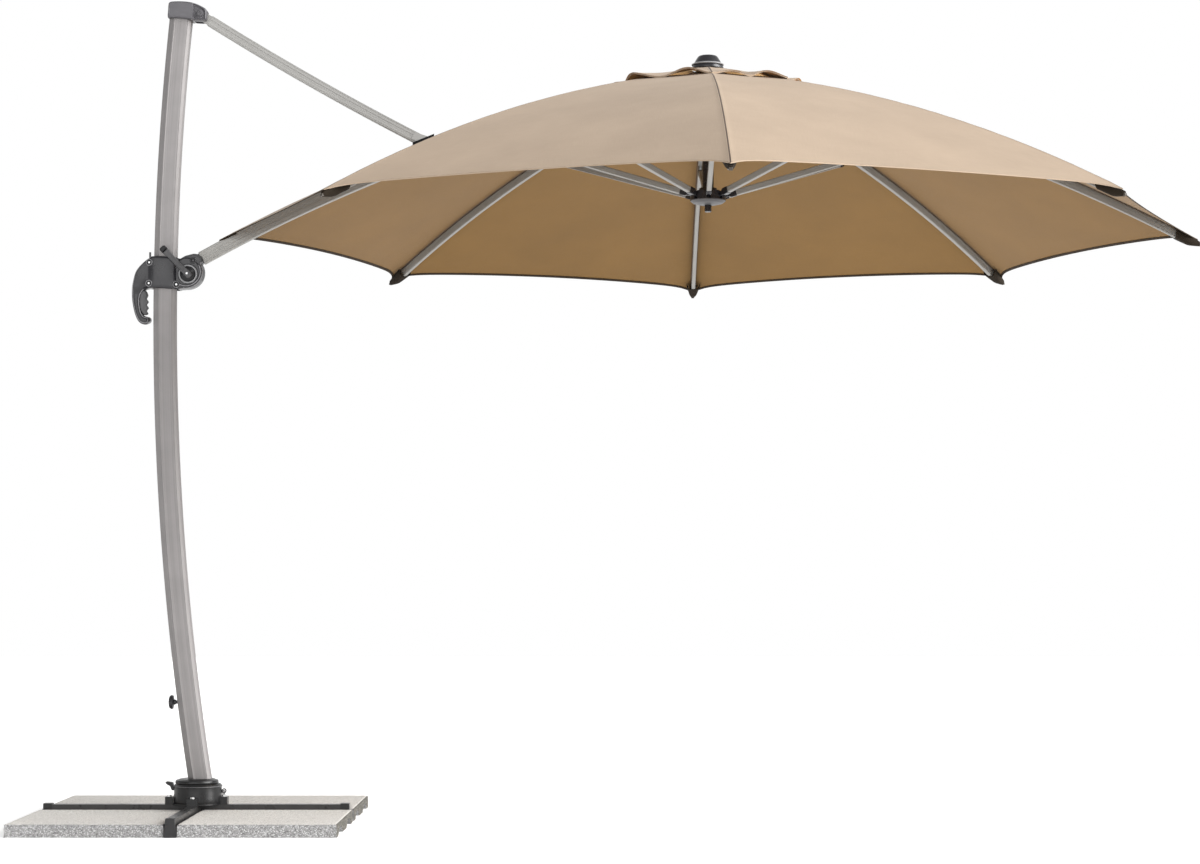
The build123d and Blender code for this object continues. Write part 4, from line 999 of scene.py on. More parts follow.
# pockets that hold the rib ends
def pocket(n):
    deg = 45 * n
    wide = ARM_W / 2 + .002 if n == 4 else RIB_W / 2 + .0022
    high = .0100 if n == 4 else .0265 if n == 6 else .0325
    sec = []
    L = .078 if n != 4 else .060
    stations = np.linspace(0, 1, 14)
    V, F, uv = [], [], []
    prof_n = 16
    for i, f in enumerate(stations):
        r = R_TIP - L + (L + (.009 if n != 4 else .004)) * f
        zt = float(canopy_z(r, R_FAB)) - .0008
        lean = 1 / math.sqrt(1 - ((r - CAN_C[0]) / R_FAB) ** 2)
        flare = (1.25 if n == 4 else 2.5 if n == 6 else 2.9) - (.25 if n == 4 else 1.4 if n == 6 else 1.75) * min(1, f / .85)
        wl = wide * flare * (1 - 0.42 * max(0, (f - .62) / .38) ** 2)
        hl = high * lean * (1 - 0.50 * max(0, (f - .50) / .50) ** 1.1)
        for k in range(prof_n):
            t = math.pi * k / (prof_n - 1)
            x = math.cos(t) * wl
            y = -math.sin(t) ** 0.55 * hl
            wob = .0011 * vnoise(f * 7 + 2, k * 0.6, 11 + n)
            if k in (0, prof_n - 1):
                y = -.0024
            V.append(rp(deg, r, zt + y + wob * (0 < k < prof_n - 1) - abs(x) * .44 * math.sqrt(lean * lean - 1), x + wob * 0.5))
            uv.append((x, r))
    m = len(stations)
    for i in range(m - 1):
        for k in range(prof_n - 1):
            F.append((i * prof_n + k, i * prof_n + k + 1, (i + 1) * prof_n + k + 1, (i + 1) * prof_n + k))
    F.append(tuple((m - 1) * prof_n + k for k in range(prof_n)))
    o = obj_from("tip_pocket_%d" % (n + 1), V, F, [M["pocket"]], uvs=None, sharp=60)
    s = o.modifiers.new("skin", "SOLIDIFY")
    s.thickness, s.offset = .0011, 1.0
    s2 = o.modifiers.new("sub", "SUBSURF")
    s2.levels = s2.render_levels = 1
    oo = join("tip_pocket_%d" % (n + 1), [o])
    for p in oo.data.polygons:
        p.use_smooth = True
    bm = bmesh.new()
    bm.from_mesh(oo.data)
    bmesh.ops.recalc_face_normals(bm, faces=bm.faces)
    bm.to_mesh(oo.data)
    bm.free()
    return oo


for n in range(8):
    o = pocket(n)
    place(o, RIB_BODY[n], "canopy_fabric", "canopy")

# black trim round the strut's slot
zs = lambda x: float(canopy_z(HUB_X - x, R_FAB))
ring_out = fillet_loop([(.728, -.030), (.851, -.030), (.851, .030), (.728, .030)], .008, 4)
ring_in = fillet_loop([(.741, -.0185), (.838, -.0185), (.838, .0185), (.741, .0185)], .005, 4)
V, F = [], []
nr = len(ring_out)
for lp, hh in ((ring_out, .0008), (ring_out * [1, .97], .0100), (ring_in * [1, 1.05], .0108), (ring_in, -.0016), (ring_out, -.0016)):
    for x, y in lp:
        V.append((x, y, zs(x) + hh))
for k in range(5):
    a0_, b0_ = k * nr, ((k + 1) % 5) * nr
    for i in range(nr):
        j = (i + 1) % nr
        F.append((a0_ + i, a0_ + j, b0_ + j, b0_ + i))
trim = tidy(obj_from("strut_slot_trim", V, F, [M["trim"]], sharp=40))
cheeks = [trim]
for sgn in (-1, 1):
    xs_c = np.linspace(.709, .781, 12)
    V, F = [], []
    for x in xs_c:
        tall_ = (2.2668 + (x - .711) / .067 * .0271) - zs(x)
        for y, h in ((.0192, .002), (.0192, tall_), (.0222, tall_ - .001), (.0240, .002)):
            V.append((x, sgn * y, zs(x) + h))
    m_ = len(xs_c)
    for i in range(m_ - 1):
        for k in range(4):
            F.append((i * 4 + k, i * 4 + (k + 1) % 4, (i + 1) * 4 + (k + 1) % 4, (i + 1) * 4 + k))
    F += [(3, 2, 1, 0), tuple((m_ - 1) * 4 + k for k in range(4))]
    cheeks.append(tidy(obj_from("slot_cheek", V, F, [M["trim"]], sharp=40)))
trim = join("strut_slot_trim", cheeks)
place(trim, "arm", "dark_plastic", "canopy")


# ------------------------------------------------------------------ slider
def loop_d(p, loop):
    return signed(p, loop)


def put_front(x, z, h):
    return (x, -h, z)


def put_back(x, z, h):
    return (x, h, z)


lobe_arc = [(LOBE[0] + .057 * math.cos(math.radians(t)), LOBE[1] + .057 * math.sin(math.radians(t))) for t in range(-84, 26, 8)]
EARC = (-.0205, 1.8605)
lobe_arc += [(LOBE[0] + .0568 * math.cos(math.radians(29)), LOBE[1] + .0568 * math.sin(math.radians(29)))]
lobe_arc += [(EARC[0] + .0310 * math.cos(math.radians(t)), EARC[1] + .0310 * math.sin(math.radians(t))) for t in range(2, 118, 12)]
lobe_arc += [(-.0480, 1.8852), (-.0600, 1.8790), (-.0690, 1.8738)]
slider_loop = [(-.162, 1.7745), (-.128, 1.7735), (-.095, 1.7715), (-.066, 1.7708)] + lobe_arc + [(-.080, 1.8772), (-.100, 1.8797), (-.132, 1.8817), (-.158, 1.8808), (-.173, 1.8768), (-.186, 1.868)]
slider_loop += [(-.2035, 1.851), (-.2185, 1.829), (-.2275, 1.797), (-.2315, 1.765), (-.2295, 1.731), (-.2225, 1.696), (-.213, 1.6715), (-.2015, 1.6585), (-.185, 1.654), (-.1715, 1.6595), (-.1665, 1.6685), (-.1690, 1.6775), (-.1775, 1.6800)]
slider_loop += [(-.190, 1.6850), (-.1985, 1.702), (-.2025, 1.731), (-.1995, 1.752), (-.1885, 1.7665), (-.177, 1.7728)]
slider_loop = catmull([(a, b) for a, b in slider_loop], 5)

SCREWS = [(-.169, 1.860), (-.170, 1.790), (-.078, 1.786), (-.023, 1.867)]


def slider_top(p, d):
    x, z = p[:, 0], p[:, 1]
    dl = np.hypot(x - LOBE[0], z - LOBE[1])
    de = np.hypot(x - EARC[0], z - EARC[1])
    in_ear = (1 - sstep(de, .0300, .0330)) * sstep(dl, .0450, .0480)
    side = sstep(x, -.086, -.078)                       # body to lobe step
    body = .0352 + .0066 * np.clip(1 - ((x + .125) / .047) ** 2, 0, 1) * (1 - .6 * ((z - 1.826) / .056) ** 2)
    body = body - .0045 * sstep(-x, .150, .205)
    lobe = .0300 + .0018 * (sstep(dl, .0440, .0460) - sstep(dl, .0545, .0560))   # rim band
    lobe = lobe + .0010 * (1 - sstep(np.hypot(x - LEVER[0], z - LEVER[1]), .033, .0345))
    H = body * (1 - side) + lobe * side
    H = np.where(in_ear > .5, .0306, H)
    grip = sstep(-z, -1.790, -1.755) * sstep(-x, .172, .180)
    H = H * (1 - grip) + .0150 * grip
    blend = sstep(-x, .176, .215) * (1 - grip)
    H = H * (1 - blend) + (.0240 + .010 * sstep(z, 1.76, 1.85)) * blend * 1.0
    # wall height at the outline: the mast passage keeps an upright wall
    inpass = sstep(x, -.172, -.163) * (1 - sstep(x, -.072, -.062)) * sstep(z, 1.765, 1.770)
    base = .0318 * inpass + .0035 * (1 - inpass)
    R = .0085 * (1 - grip) + .0125 * grip
    R = R * (1 - side) + .0040 * side
    t = np.clip(d / R, 0, 1)
    g = np.sqrt(np.maximum(0, 1 - (1 - t) ** 2))
    h = base + (H - base) * g
    # parting bead along the outer edge of the grip and the lobe
    h = h + .0009 * (sstep(d, .0030, .0036) - sstep(d, .0062, .0070)) * side
    h = h - .0008 * (sstep(d, .0105, .0112) - sstep(d, .0125, .0132)) * (1 - side) * sstep(-x, .150, .165) * (1 - grip)
    # counterbores
    for k, (cx, cz) in enumerate(SCREWS):
        r = np.hypot(x - cx, z - cz)
        R1 = .0085 if k < 3 else .0072
        ring = sstep(r, R1 + .0006, R1) if False else 1 - sstep(r, R1, R1 + .0006)
        boss = (1 - sstep(r, R1 + .0024, R1 + .0040)) * .0014
        h = h + boss * (1 - ring)
        floor_ = (.0332 if k < 3 else .0282)
        h = h * (1 - ring) + np.minimum(h, floor_) * ring
    return h


S_POCKET = [(-.062, 1.842), (-.045, 1.842), (-.022, 1.832), (.006, 1.800), (.060, 1.800), (.060, 1.900), (-.062, 1.900)]


def slider_bottom(p, d):
    x, z = p[:, 0], p[:, 1]
    mx = mast_x(z)
    inp = (x > mx - MAST_X / 2 - .0032) & (x < mx + MAST_X / 2 + .0088) & (z > 1.6)
    body = z > 1.765
    h = np.full(len(p), .0002)
    h = np.where(inp & body, .0303, h)
    pk = signed(p, np.array(S_POCKET)) > -1e-5
    root = np.hypot(x - S[0], z - S[1]) < .0205
    h = np.where((pk | root) & ~(inp & body), .0142, h)
    # pocket behind the trigger
    return h


def slider_mats(c):
    """Painted highlight bands along the cheeks' outline, the lobe rim and round the counterbores, and painted shade in
    the counterbores.
    """
    c = np.asarray(c)[:, :2]
    d = signed(c, resample(np.array(slider_loop), .002))
    x, z = c[:, 0], c[:, 1]
    dl = np.hypot(x - LOBE[0], z - LOBE[1])
    out = np.zeros(len(c), int)
    grip = (x < -.172) & (z < 1.772)
    left = x < -.190
    # painted highlight: light bands inside the outline of the grip, the left side and the lobe
    out[((d > .0036) & (d < .0062)) & (grip | left)] = 1
    out[(dl > .0462) & (dl < .0486) & (x > -.066) & (z < 1.850)] = 1
    out[(d > .0020) & (d < .0032) & (x > -.070) & (z < 1.86)] = 1
    for k, (cx, cz) in enumerate(SCREWS):
        R1 = .0085 if k < 3 else .0072
        r = np.hypot(x - cx, z - cz)
        # painted shade in the counterbores, painted highlight on the rims round the first three
        out[r < R1 + .0002] = 2
        out[(r > R1 + .0006) & (r < R1 + .0026)] = 1 if k < 3 else 0
    return out


zl = np.linspace(1.764, 1.886, 62)
pass_marks = []
for off in (-MAST_X / 2 - .0032, MAST_X / 2 + .0088):
    for e in (-.00012, .00012):
        pass_marks.append(np.stack([mast_x(zl) + off + e, zl], 1))
pk = np.array(S_POCKET)
pk_line = resample(pk[:5], .002, closed=False)
pass_marks += [pk_line + [0, .00012], pk_line - [0, .00012]]
feat = []
for k, (cx, cz) in enumerate(SCREWS):
    R1 = .0085 if k < 3 else .0072
    for r in (R1 - .0004, R1 + .0001, R1 + .0006, R1 + .0024, R1 + .0040):
        feat.append(circle((cx, cz), r, 36))
for r in (.0440, .0462, .0486, .0545, .0558):
    feat.append(circle(LOBE, r, 110))
for r in (.0330, .0345):
    feat.append(circle(LEVER, r, 90))
zb_ = np.linspace(1.770, 1.878, 50)
for xo in (-.086, -.083, -.080, -.078):
    feat.append(np.stack([np.full(50, xo), zb_], 1))
for sgn, nm, put in ((-1, "front", put_front), (1, "rear", put_back)):
    o = relief("slider_cheek_" + nm, slider_loop, slider_top, slider_bottom, put, [M["dark"], M["edge"], M["black_and_shade"]], step=.0026, edge=.0020, rings=(.0002, .0007, .0015, .0020, .0032, .0044, .0060, .0080), marks=pass_marks + feat, sharp=38, mat_fn=slider_mats)
    o.data.flip_normals()
    place(o, "slider", "dark_plastic", "slider_shell_front" if sgn < 0 else "slider_shell_rear")

# screw heads with a hex socket, in the counterbores
heads = []
for k, (cx, cz) in enumerate(SCREWS):
    for sgn in (-1, 1):
        y0 = .0332 if k < 3 else .0282
        R1 = .0066 if k < 3 else .0056
        prof = [(0, y0 - .004), (R1, y0 - .004), (R1, y0 + .0018), (R1 * .86, y0 + .0034), (R1 * .5, y0 + .0040), (R1 * .46, y0 + .0040), (R1 * .40, y0 + .0018), (0, y0 + .0014)]
        prof = [(0, y0 - .004), (R1 * .60, y0 - .004), (R1 * .60, y0 + .0022), (R1 * .50, y0 + .0032), (R1 * .30, y0 + .0034), (R1 * .26, y0 + .0020), (0, y0 + .0018)]
        heads.append(lathe("screw_%d_%d" % (k, sgn), [(r, sgn * h) for r, h in prof], (cx, 0, cz), [M["steel"] if k < 3 else M["bracket"]], 36, axis="Y"))
screws = join("slider_screw_heads", heads)
place(screws, "slider", "fastener_steel", "slider_screws", "arm_root_pin")

# lever boss: dark disc with a painted highlight ring on its edge, and the tapered paddle
ring = lathe("lever_ring", [(.0262, -.0295), (.0262, -.0345), (.0272, -.0352), (.0296, -.0352), (.0306, -.0344), (.0310, -.0300), (.0300, -.0292), (.0262, -.0295)], (LEVER[0], 0, LEVER[1]), [M["ring_highlight"]], 96, axis="Y")
tidy(ring)
place(ring, "slider", "dark_plastic", "slider_shell_front")
boss = lathe("lever_boss", [(0, -.0285), (.0236, -.0285), (.0250, -.0300), (.0250, -.0370), (.0238, -.0392), (.0215, -.0405), (.0150, -.0450), (0, -.0452)], (LEVER[0], 0, LEVER[1]), [M["black_and_shade"]], 96, axis="Y")
dx, dz = -.122 - LEVER[0], 1.9055 - LEVER[1]
dl_ = math.hypot(dx, dz)
ux, uz = dx / dl_, dz / dl_
nx, nz = -uz, ux


def lv(a, b):
    return (LEVER[0] + ux * a + nx * b, LEVER[1] + uz * a + nz * b)


paddle_loop = catmull([lv(-.016, 0), lv(-.0140, .0090), lv(-.004, .0118), (lv(.012, .0108)), lv(.040, .0092), lv(.070, .0094), lv(dl_ - .012, .0108), lv(dl_ - .011, .0112), lv(dl_ - .011, -.0112), lv(dl_ - .012, -.0108), lv(.070, -.0094), lv(.040, -.0092), lv(.012, -.0108), lv(-.004, -.0118), lv(-.0140, -.0090)], 5)


def paddle_top(p, d):
    a = (p[:, 0] - LEVER[0]) * ux + (p[:, 1] - LEVER[1]) * uz
    b = (p[:, 0] - LEVER[0]) * nx + (p[:, 1] - LEVER[1]) * nz
    H = .0560 - .0020 * sstep(a, .02, .09) - .0012 * (np.abs(b) < .0038) * sstep(a, .012, .02) * (1 - sstep(a, .075, .083))
    t = np.clip(d / .0032, 0, 1)
    r = np.hypot(p[:, 0] - LEVER[0], p[:, 1] - LEVER[1])
    H = H - .0016 * (1 - sstep(r, .0050, .0056))
    return .0442 + (H - .0442) * np.sqrt(np.maximum(0, 1 - (1 - t) ** 2))


paddle = relief("lever_paddle", paddle_loop, paddle_top, lambda p, d: np.full(len(p), .0440), put_front, [M["lever"]], step=.0016, edge=.0014, rings=(.0002, .0006, .0012, .0020, .0030), marks=[circle(LEVER, .0050, 30), circle(LEVER, .0057, 30), resample([lv(.014, .0037), lv(.080, .0037)], .002, False), resample([lv(.014, .0040), lv(.080, .0040)], .002, False), resample([lv(.014, -.0037), lv(.080, -.0037)], .002, False), resample([lv(.014, -.0040), lv(.080, -.0040)], .002, False)])
cap_loop = fillet_loop([lv(dl_ - .0115, .0118), lv(dl_ + .0035, .0112), lv(dl_ + .0062, .0060), lv(dl_ + .0062, -.0060), lv(dl_ + .0035, -.0112), lv(dl_ - .0115, -.0118)], .0022, 3)
cap = relief("lever_cap", cap_loop, lambda p, d: .0440 + .0140 * np.sqrt(np.maximum(0, 1 - (1 - np.clip(d / .0036, 0, 1)) ** 2)), lambda p, d: np.full(len(p), .0436), put_front, [M["black_and_shade"]], step=.0016, edge=.0014, rings=(.0002, .0006, .0014, .0026))
centre = lathe("lever_screw", [(0, -.0530), (.0046, -.0530), (.0046, -.0551), (.0038, -.0564), (.0020, -.0568), (.0019, -.0555), (0, -.0553)], (LEVER[0], 0, LEVER[1]), [M["steel"]], 32, axis="Y")
lever = join("lock_lever_assembly", [boss, paddle, cap, centre])
place(lever, "lever", "dark_plastic", "lock_lever")

# squeeze trigger with finger grooves
trig = catmull([(-.1885, 1.7705), (-.1815, 1.7640), (-.1772, 1.7530), (-.1800, 1.7445), (-.1815, 1.7405), (-.1775, 1.7345), (-.1755, 1.7300), (-.1790, 1.7240), (-.1812, 1.7205), (-.1775, 1.7145), (-.1752, 1.7095), (-.1790, 1.7035), (-.1810, 1.7000), (-.1780, 1.6950), (-.1765, 1.6905), (-.1815, 1.6865), (-.1925, 1.6880), (-.2025, 1.7040), (-.2068, 1.7310), (-.2045, 1.7540), (-.1970, 1.7700)], 5)


def trig_top(p, d):
    t = np.clip(d / .0065, 0, 1)
    return .0015 + .0110 * np.sqrt(np.maximum(0, 1 - (1 - t) ** 2)) + .0004 * np.sin(p[:, 1] * 2 * math.pi / .0042) * sstep(d, .004, .006) * (p[:, 0] > -.194)


halves = [relief("trigger_f", trig, trig_top, lambda p, d: np.full(len(p), .0001), put_front, [M["grip"]], step=.0016, edge=.0014, rings=(.0002, .0008, .0018, .0030, .0045)),
          relief("trigger_b", trig, trig_top, lambda p, d: np.full(len(p), .0001), put_back, [M["grip"]], step=.0016, edge=.0014, rings=(.0002, .0008, .0018, .0030, .0045))]
trigger = join("squeeze_trigger", halves)
place(trigger, "trigger", "grip_plastic", "grip_trigger")

# ------------------------------------------------------------------ top bracket
br_loop = catmull([(-.1150, 2.6885), (-.1143, 2.7120), (-.1126, 2.7340), (-.1085, 2.7415), (-.0960, 2.7436), (-.0700, 2.7440), (-.0420, 2.7418), (-.0200, 2.7360), (-.0020, 2.7275), (.0100, 2.7200), (.0148, 2.7120), (.0158, 2.7010), (.0152, 2.6860), (.0120, 2.6785), (.0020, 2.6762), (-.0180, 2.6768), (-.0400, 2.6800), (-.0700, 2.6838), (-.1050, 2.6862)], 5)


def br_top(p, d):
    x, z = p[:, 0], p[:, 1]
    nose = sstep(x, -.0330, -.0290)
    H = .0362 * (1 - nose) + .0300 * nose
    H = H + .0014 * np.exp(-((x + .075) / .026) ** 2) * (1 - nose)
    t = np.clip(d / .0050, 0, 1)
    inpass = 1 - sstep(x, -.036, -.030)
    base = .0296 * inpass * (1 - sstep(z, 2.735, 2.7385)) + .0150 * (1 - inpass) + .010 * inpass * sstep(z, 2.735, 2.7385)
    h = base + (H - base) * np.sqrt(np.maximum(0, 1 - (1 - t) ** 2))
    # raised border
    h = h + .0011 * (sstep(d, .0018, .0024) - sstep(d, .0052, .0060)) * (1 - 0.0 * nose)
    # recessed, diamond-faced window on the nose
    win = nose * sstep(d, .0062, .0070) * (1 - sstep(x, .008, .0085))
    dia = np.abs(np.sin((x + z) * math.pi / .0052)) * np.abs(np.sin((x - z) * math.pi / .0052))
    h = h - win * (.0026 - .0016 * dia)
    r = np.hypot(x - P[0], z - P[1])
    ring_ = 1 - sstep(r, .0120, .0126)
    h = h * (1 - ring_) + .0296 * ring_
    return h


def br_bottom(p, d):
    x, z = p[:, 0], p[:, 1]
    mx = mast_x(z)
    inp = (x > mx - MAST_X / 2 - .0001) & (x < mx + MAST_X / 2 + .0001) & (z < 2.7382)
    h = np.full(len(p), .0001)
    h = np.where(inp, .0291, h)
    h = np.where((x > -.0255) & ~inp, .0146, h)
    return h


zl = np.linspace(2.680, 2.7382, 34)
bm_ = []
for off in (-MAST_X / 2 - .0001, MAST_X / 2 + .0001):
    for e in (-.0001, .0001):
        bm_.append(np.stack([mast_x(zl) + off + e, zl], 1))
xs_ = np.linspace(-.118, -.030, 40)
bm_ += [np.stack([xs_, np.full(40, 2.7381)], 1), np.stack([xs_, np.full(40, 2.7383)], 1)]
zz_ = np.linspace(2.680, 2.742, 30)
bm_ += [np.stack([np.full(30, xx), zz_], 1) for xx in (-.0256, -.0254, -.0330, -.0310, -.0290)]
bm_ += [circle(P, r, 40) for r in (.0118, .0121, .0126)]
gx, gz = np.meshgrid(np.arange(-.027, .009, .00130), np.arange(2.688, 2.734, .00130))
bm_.append(np.stack([gx.ravel(), gz.ravel()], 1))
for sgn, nm, put in ((-1, "front", put_front), (1, "rear", put_back)):
    o = relief("top_bracket_" + nm, br_loop, br_top, br_bottom, put, [M["bracket"]], step=.0026, edge=.0020, rings=(.0002, .0008, .0018, .0024, .0038, .0052, .0060), marks=bm_, sharp=38)
    place(o, "mast", "dark_plastic", "top_bracket")
bolt = []
for sgn in (-1, 1):
    bolt.append(lathe("bb%d" % sgn, [(0, sgn * .0290), (.0102, sgn * .0290), (.0102, sgn * .0320), (.0090, sgn * .0338), (.0052, sgn * .0342), (.0046, sgn * .0316), (0, sgn * .0312)], (P[0], 0, P[1]), [M["bracket"]], 40, axis="Y"))
shaft = lathe("bs", [(0, -.0292), (.0050, -.0292), (.0050, .0292), (0, .0292)], (P[0], 0, P[1]), [M["steel"]], 32, axis="Y")
o = join("strut_pivot_bolt", bolt + [shaft])
place(o, "mast", "fastener_steel", "strut_pivot_pin")
rear_screws = []
for zz in (2.700, 2.728):
    rear_screws.append(lathe("rs", [(0, .0360), (.0050, .0360), (.0050, .0372), (.0036, .0388), (.0018, .0390), (.0016, .0376), (0, .0374)], (-.096, 0, zz), [M["steel"]], 28, axis="Y"))
o = join("bracket_screw_heads", rear_screws)
place(o, "mast", "fastener_steel", "bracket_screws")

# ------------------------------------------------------------------ pot and collar
pot_prof = [(.062, .072), (.062, .1240), (.0635, .1262), (.0710, .1266), (.0738, .1256), (.0762, .1230), (.0768, .1214), (.0792, .1200), (.0798, .1186), (.0797, .1174), (.0784, .1160), (.0782, .1140), (.0786, .1000), (.0792, .0800), (.0795, .0700), (.0788, .0650), (.0780, .0632), (.060, .0632)]
pot = lathe("pot_barrel", pot_prof, (.0035, 0, 0), [M["base"], M["edge"]], 128, face_mat=None, sharp=25)
# painted highlight: a thin light grey ring where light catches the pot's lip
lip = tidy(lathe("pot_lip", [(.0790, .1188), (.0800, .1188), (.0804, .1182), (.0800, .1176), (.0790, .1176), (.0790, .1188)], (.0035, 0, 0), [M["edge"]], 128))
place(lip, "base", "base_plastic", "pot_housing")
place(pot, "base", "base_plastic", "pot_housing")
collar = lathe("turn_collar", [(.0615, .0800), (.0615, .1262), (.0622, .1270), (.0690, .1272), (.0706, .1282), (.0712, .1302), (.0706, .1352), (.0692, .1378), (.0672, .1386), (.0655, .1382), (.0640, .1390), (.0600, .1412), (.0540, .1428), (.0440, .1432), (0, .1432)], (0, 0, 0), [M["base"]], 128, sharp=25)
place(collar, "mast", "base_plastic", "turntable")

# ------------------------------------------------------------------ slabs
def fbm(p, scale, seed, octaves=4):
    """Value noise on an (n, 3) array, vectorised."""
    out = np.zeros(len(p))
    amp, tot = 1.0, 0.0
    for o_ in range(octaves):
        q = p * scale * (2 ** o_) + seed * 13.37 + o_ * 7.1
        i = np.floor(q).astype(np.int64)
        f = q - i
        f = f * f * (3 - 2 * f)
        acc = np.zeros(len(p))
        for dx_ in (0, 1):
            for dy_ in (0, 1):
                for dz_ in (0, 1):
                    h = ((i[:, 0] + dx_) * 73856093) ^ ((i[:, 1] + dy_) * 19349663) ^ ((i[:, 2] + dz_) * 83492791)
                    h = (h & 0x7fffffff) % 10007 / 10007.0
                    w = (f[:, 0] if dx_ else 1 - f[:, 0]) * (f[:, 1] if dy_ else 1 - f[:, 1]) * (f[:, 2] if dz_ else 1 - f[:, 2])
                    acc += h * w
        out += amp * (acc - 0.5)
        tot += amp
        amp *= 0.55
    return out / tot


def slab(name, sx, sy, seed):
    size, t, gap = .500, .042, .040
    cx, cy = sx * (gap + size) / 2, sy * (gap + size) / 2
    n, m = 108, 11
    lin = np.linspace(-.5, .5, n + 1)
    zs_ = np.concatenate([np.linspace(0, .039, m), [.0405, .042]])
    insets = np.concatenate([np.zeros(m - 1), [.0004, .0011, .0030]])
    V, idx = [], {}

    def vert(x, y, z):
        k = (round(x, 6), round(y, 6), round(z, 6))
        if k not in idx:
            idx[k] = len(V)
            V.append((x, y, z))
        return idx[k]

    F, fm = [], []
    per = [(a, -.5) for a in lin[:-1]] + [(.5, a) for a in lin[:-1]] + [(-a, .5) for a in lin[:-1]] + [(-.5, -a) for a in lin[:-1]]
    rows = []
    for z, ins in zip(zs_, insets):
        k = (size - 2 * ins)
        rows.append([vert(a * k, b * k, z) for a, b in per])
    L = len(per)
    for i in range(len(zs_) - 1):
        for j in range(L):
            F.append((rows[i][j], rows[i][(j + 1) % L], rows[i + 1][(j + 1) % L], rows[i + 1][j]))
            fm.append(1)
    k = size - 2 * insets[-1]
    for i in range(n):
        for j in range(n):
            F.append((vert(lin[i] * k, lin[j] * k, .042), vert(lin[i + 1] * k, lin[j] * k, .042), vert(lin[i + 1] * k, lin[j + 1] * k, .042), vert(lin[i] * k, lin[j + 1] * k, .042)))
            fm.append(0)
    for i in range(n):
        for j in range(n):
            F.append((vert(lin[i] * size, lin[j] * size, 0), vert(lin[i] * size, lin[j + 1] * size, 0), vert(lin[i + 1] * size, lin[j + 1] * size, 0), vert(lin[i + 1] * size, lin[j] * size, 0)))
            fm.append(1)
    V = np.array(V)
    # painted shade: the outer side faces of the right-hand pair take the darker copy
    if sx > 0:
        fm = [2 if k_ == 1 and min(V[i][0] for i in f_) > .2465 else k_ for k_, f_ in zip(fm, F)]
    Pw = V + np.array([cx, cy, 0])
    r = np.maximum(np.abs(V[:, 0]), np.abs(V[:, 1]))
    side = sstep(r, .244, .2495)
    low = V[:, 2] < .0005
    coarse = fbm(Pw, 150.0, seed, 3)
    fine = fbm(Pw, 420.0, seed + 5, 2)
    sharp_ = np.clip(coarse * 2.6, -1, 1)
    disp = .0016 * sharp_ + .0010 * fine
    out = np.stack([V[:, 0] * (np.abs(V[:, 0]) > .2465), V[:, 1] * (np.abs(V[:, 1]) > .2465)], 1)
    nrm_ = out / np.maximum(np.linalg.norm(out, axis=1)[:, None], 1e-9)
    V[:, :2] += nrm_ * (disp * side - .0012 * side)[:, None]
    top = V[:, 2] > .0395
    V[:, 2] += top * (.0005 * fine + .0004 * coarse - .0004)
    # worn arrises
    arris = np.exp(-((r - .2480) / .0022) ** 2) * (V[:, 2] > .0380)
    V[:, 2] -= arris * (.0010 + .0022 * np.clip(fbm(Pw, 55.0, seed + 9, 3) * 2, 0, 1))
    # hand recesses under the outer side of the right-hand pair
    if sx > 0:
        for off in (-.125, .125):
            dy = V[:, 1] - off
            inside = (V[:, 0] > .185) & (np.abs(dy) < .100)
            lift = np.sqrt(np.maximum(0, .100 ** 2 - dy ** 2)) - .074
            lift = np.maximum(lift, 0) * sstep(V[:, 0], .205, .222)
            V[:, 2] = np.where(inside & (V[:, 2] < lift), lift, V[:, 2])
    V[:, 2] = np.where(low & (V[:, 2] < .0003), 0.0, V[:, 2])
    V += np.array([cx, cy, 0])
    o = obj_from("paving_" + name, V, F, [M["slab_top"], M["slab_side"], M["slab_side_painted_shade"]], face_mat=fm, sharp=60)
    place(o, "base", "slab_concrete", "slab_" + name)
    return o


for k, (nm, sx, sy) in enumerate((("front_left", -1, -1), ("front_right", 1, -1), ("rear_left", -1, 1), ("rear_right", 1, 1))):
    slab(nm, sx, sy, k + 1)

# ------------------------------------------------------------------ canopy crown
fin = lathe("finial", [(0, 2.5085), (.0410, 2.5085), (.0412, 2.5130), (.0525, 2.5150), (.0535, 2.5170), (.0533, 2.5215), (.0512, 2.5262), (.0480, 2.5330), (.0400, 2.5470), (.0362, 2.5532), (.0335, 2.5572), (.0305, 2.5598), (.0262, 2.5612), (.0240, 2.5606), (.0225, 2.5590), (.0120, 2.5600), (0, 2.5604)], (HUB_X, 0, 0), [M["dark"]], 96, sharp=25)
place(fin, "hub", "dark_plastic", "finial_cap")
# painted highlight: light grey ring on the finial's shoulder
rl = tidy(lathe("finial_ring", [(.0470, 2.5290), (.0530, 2.5285), (.0545, 2.5300), (.0540, 2.5322), (.0500, 2.5345), (.0470, 2.5350), (.0470, 2.5290)], (HUB_X, 0, 0), [M["ring_highlight"]], 96))
place(rl, "hub", "dark_plastic", "finial_cap")

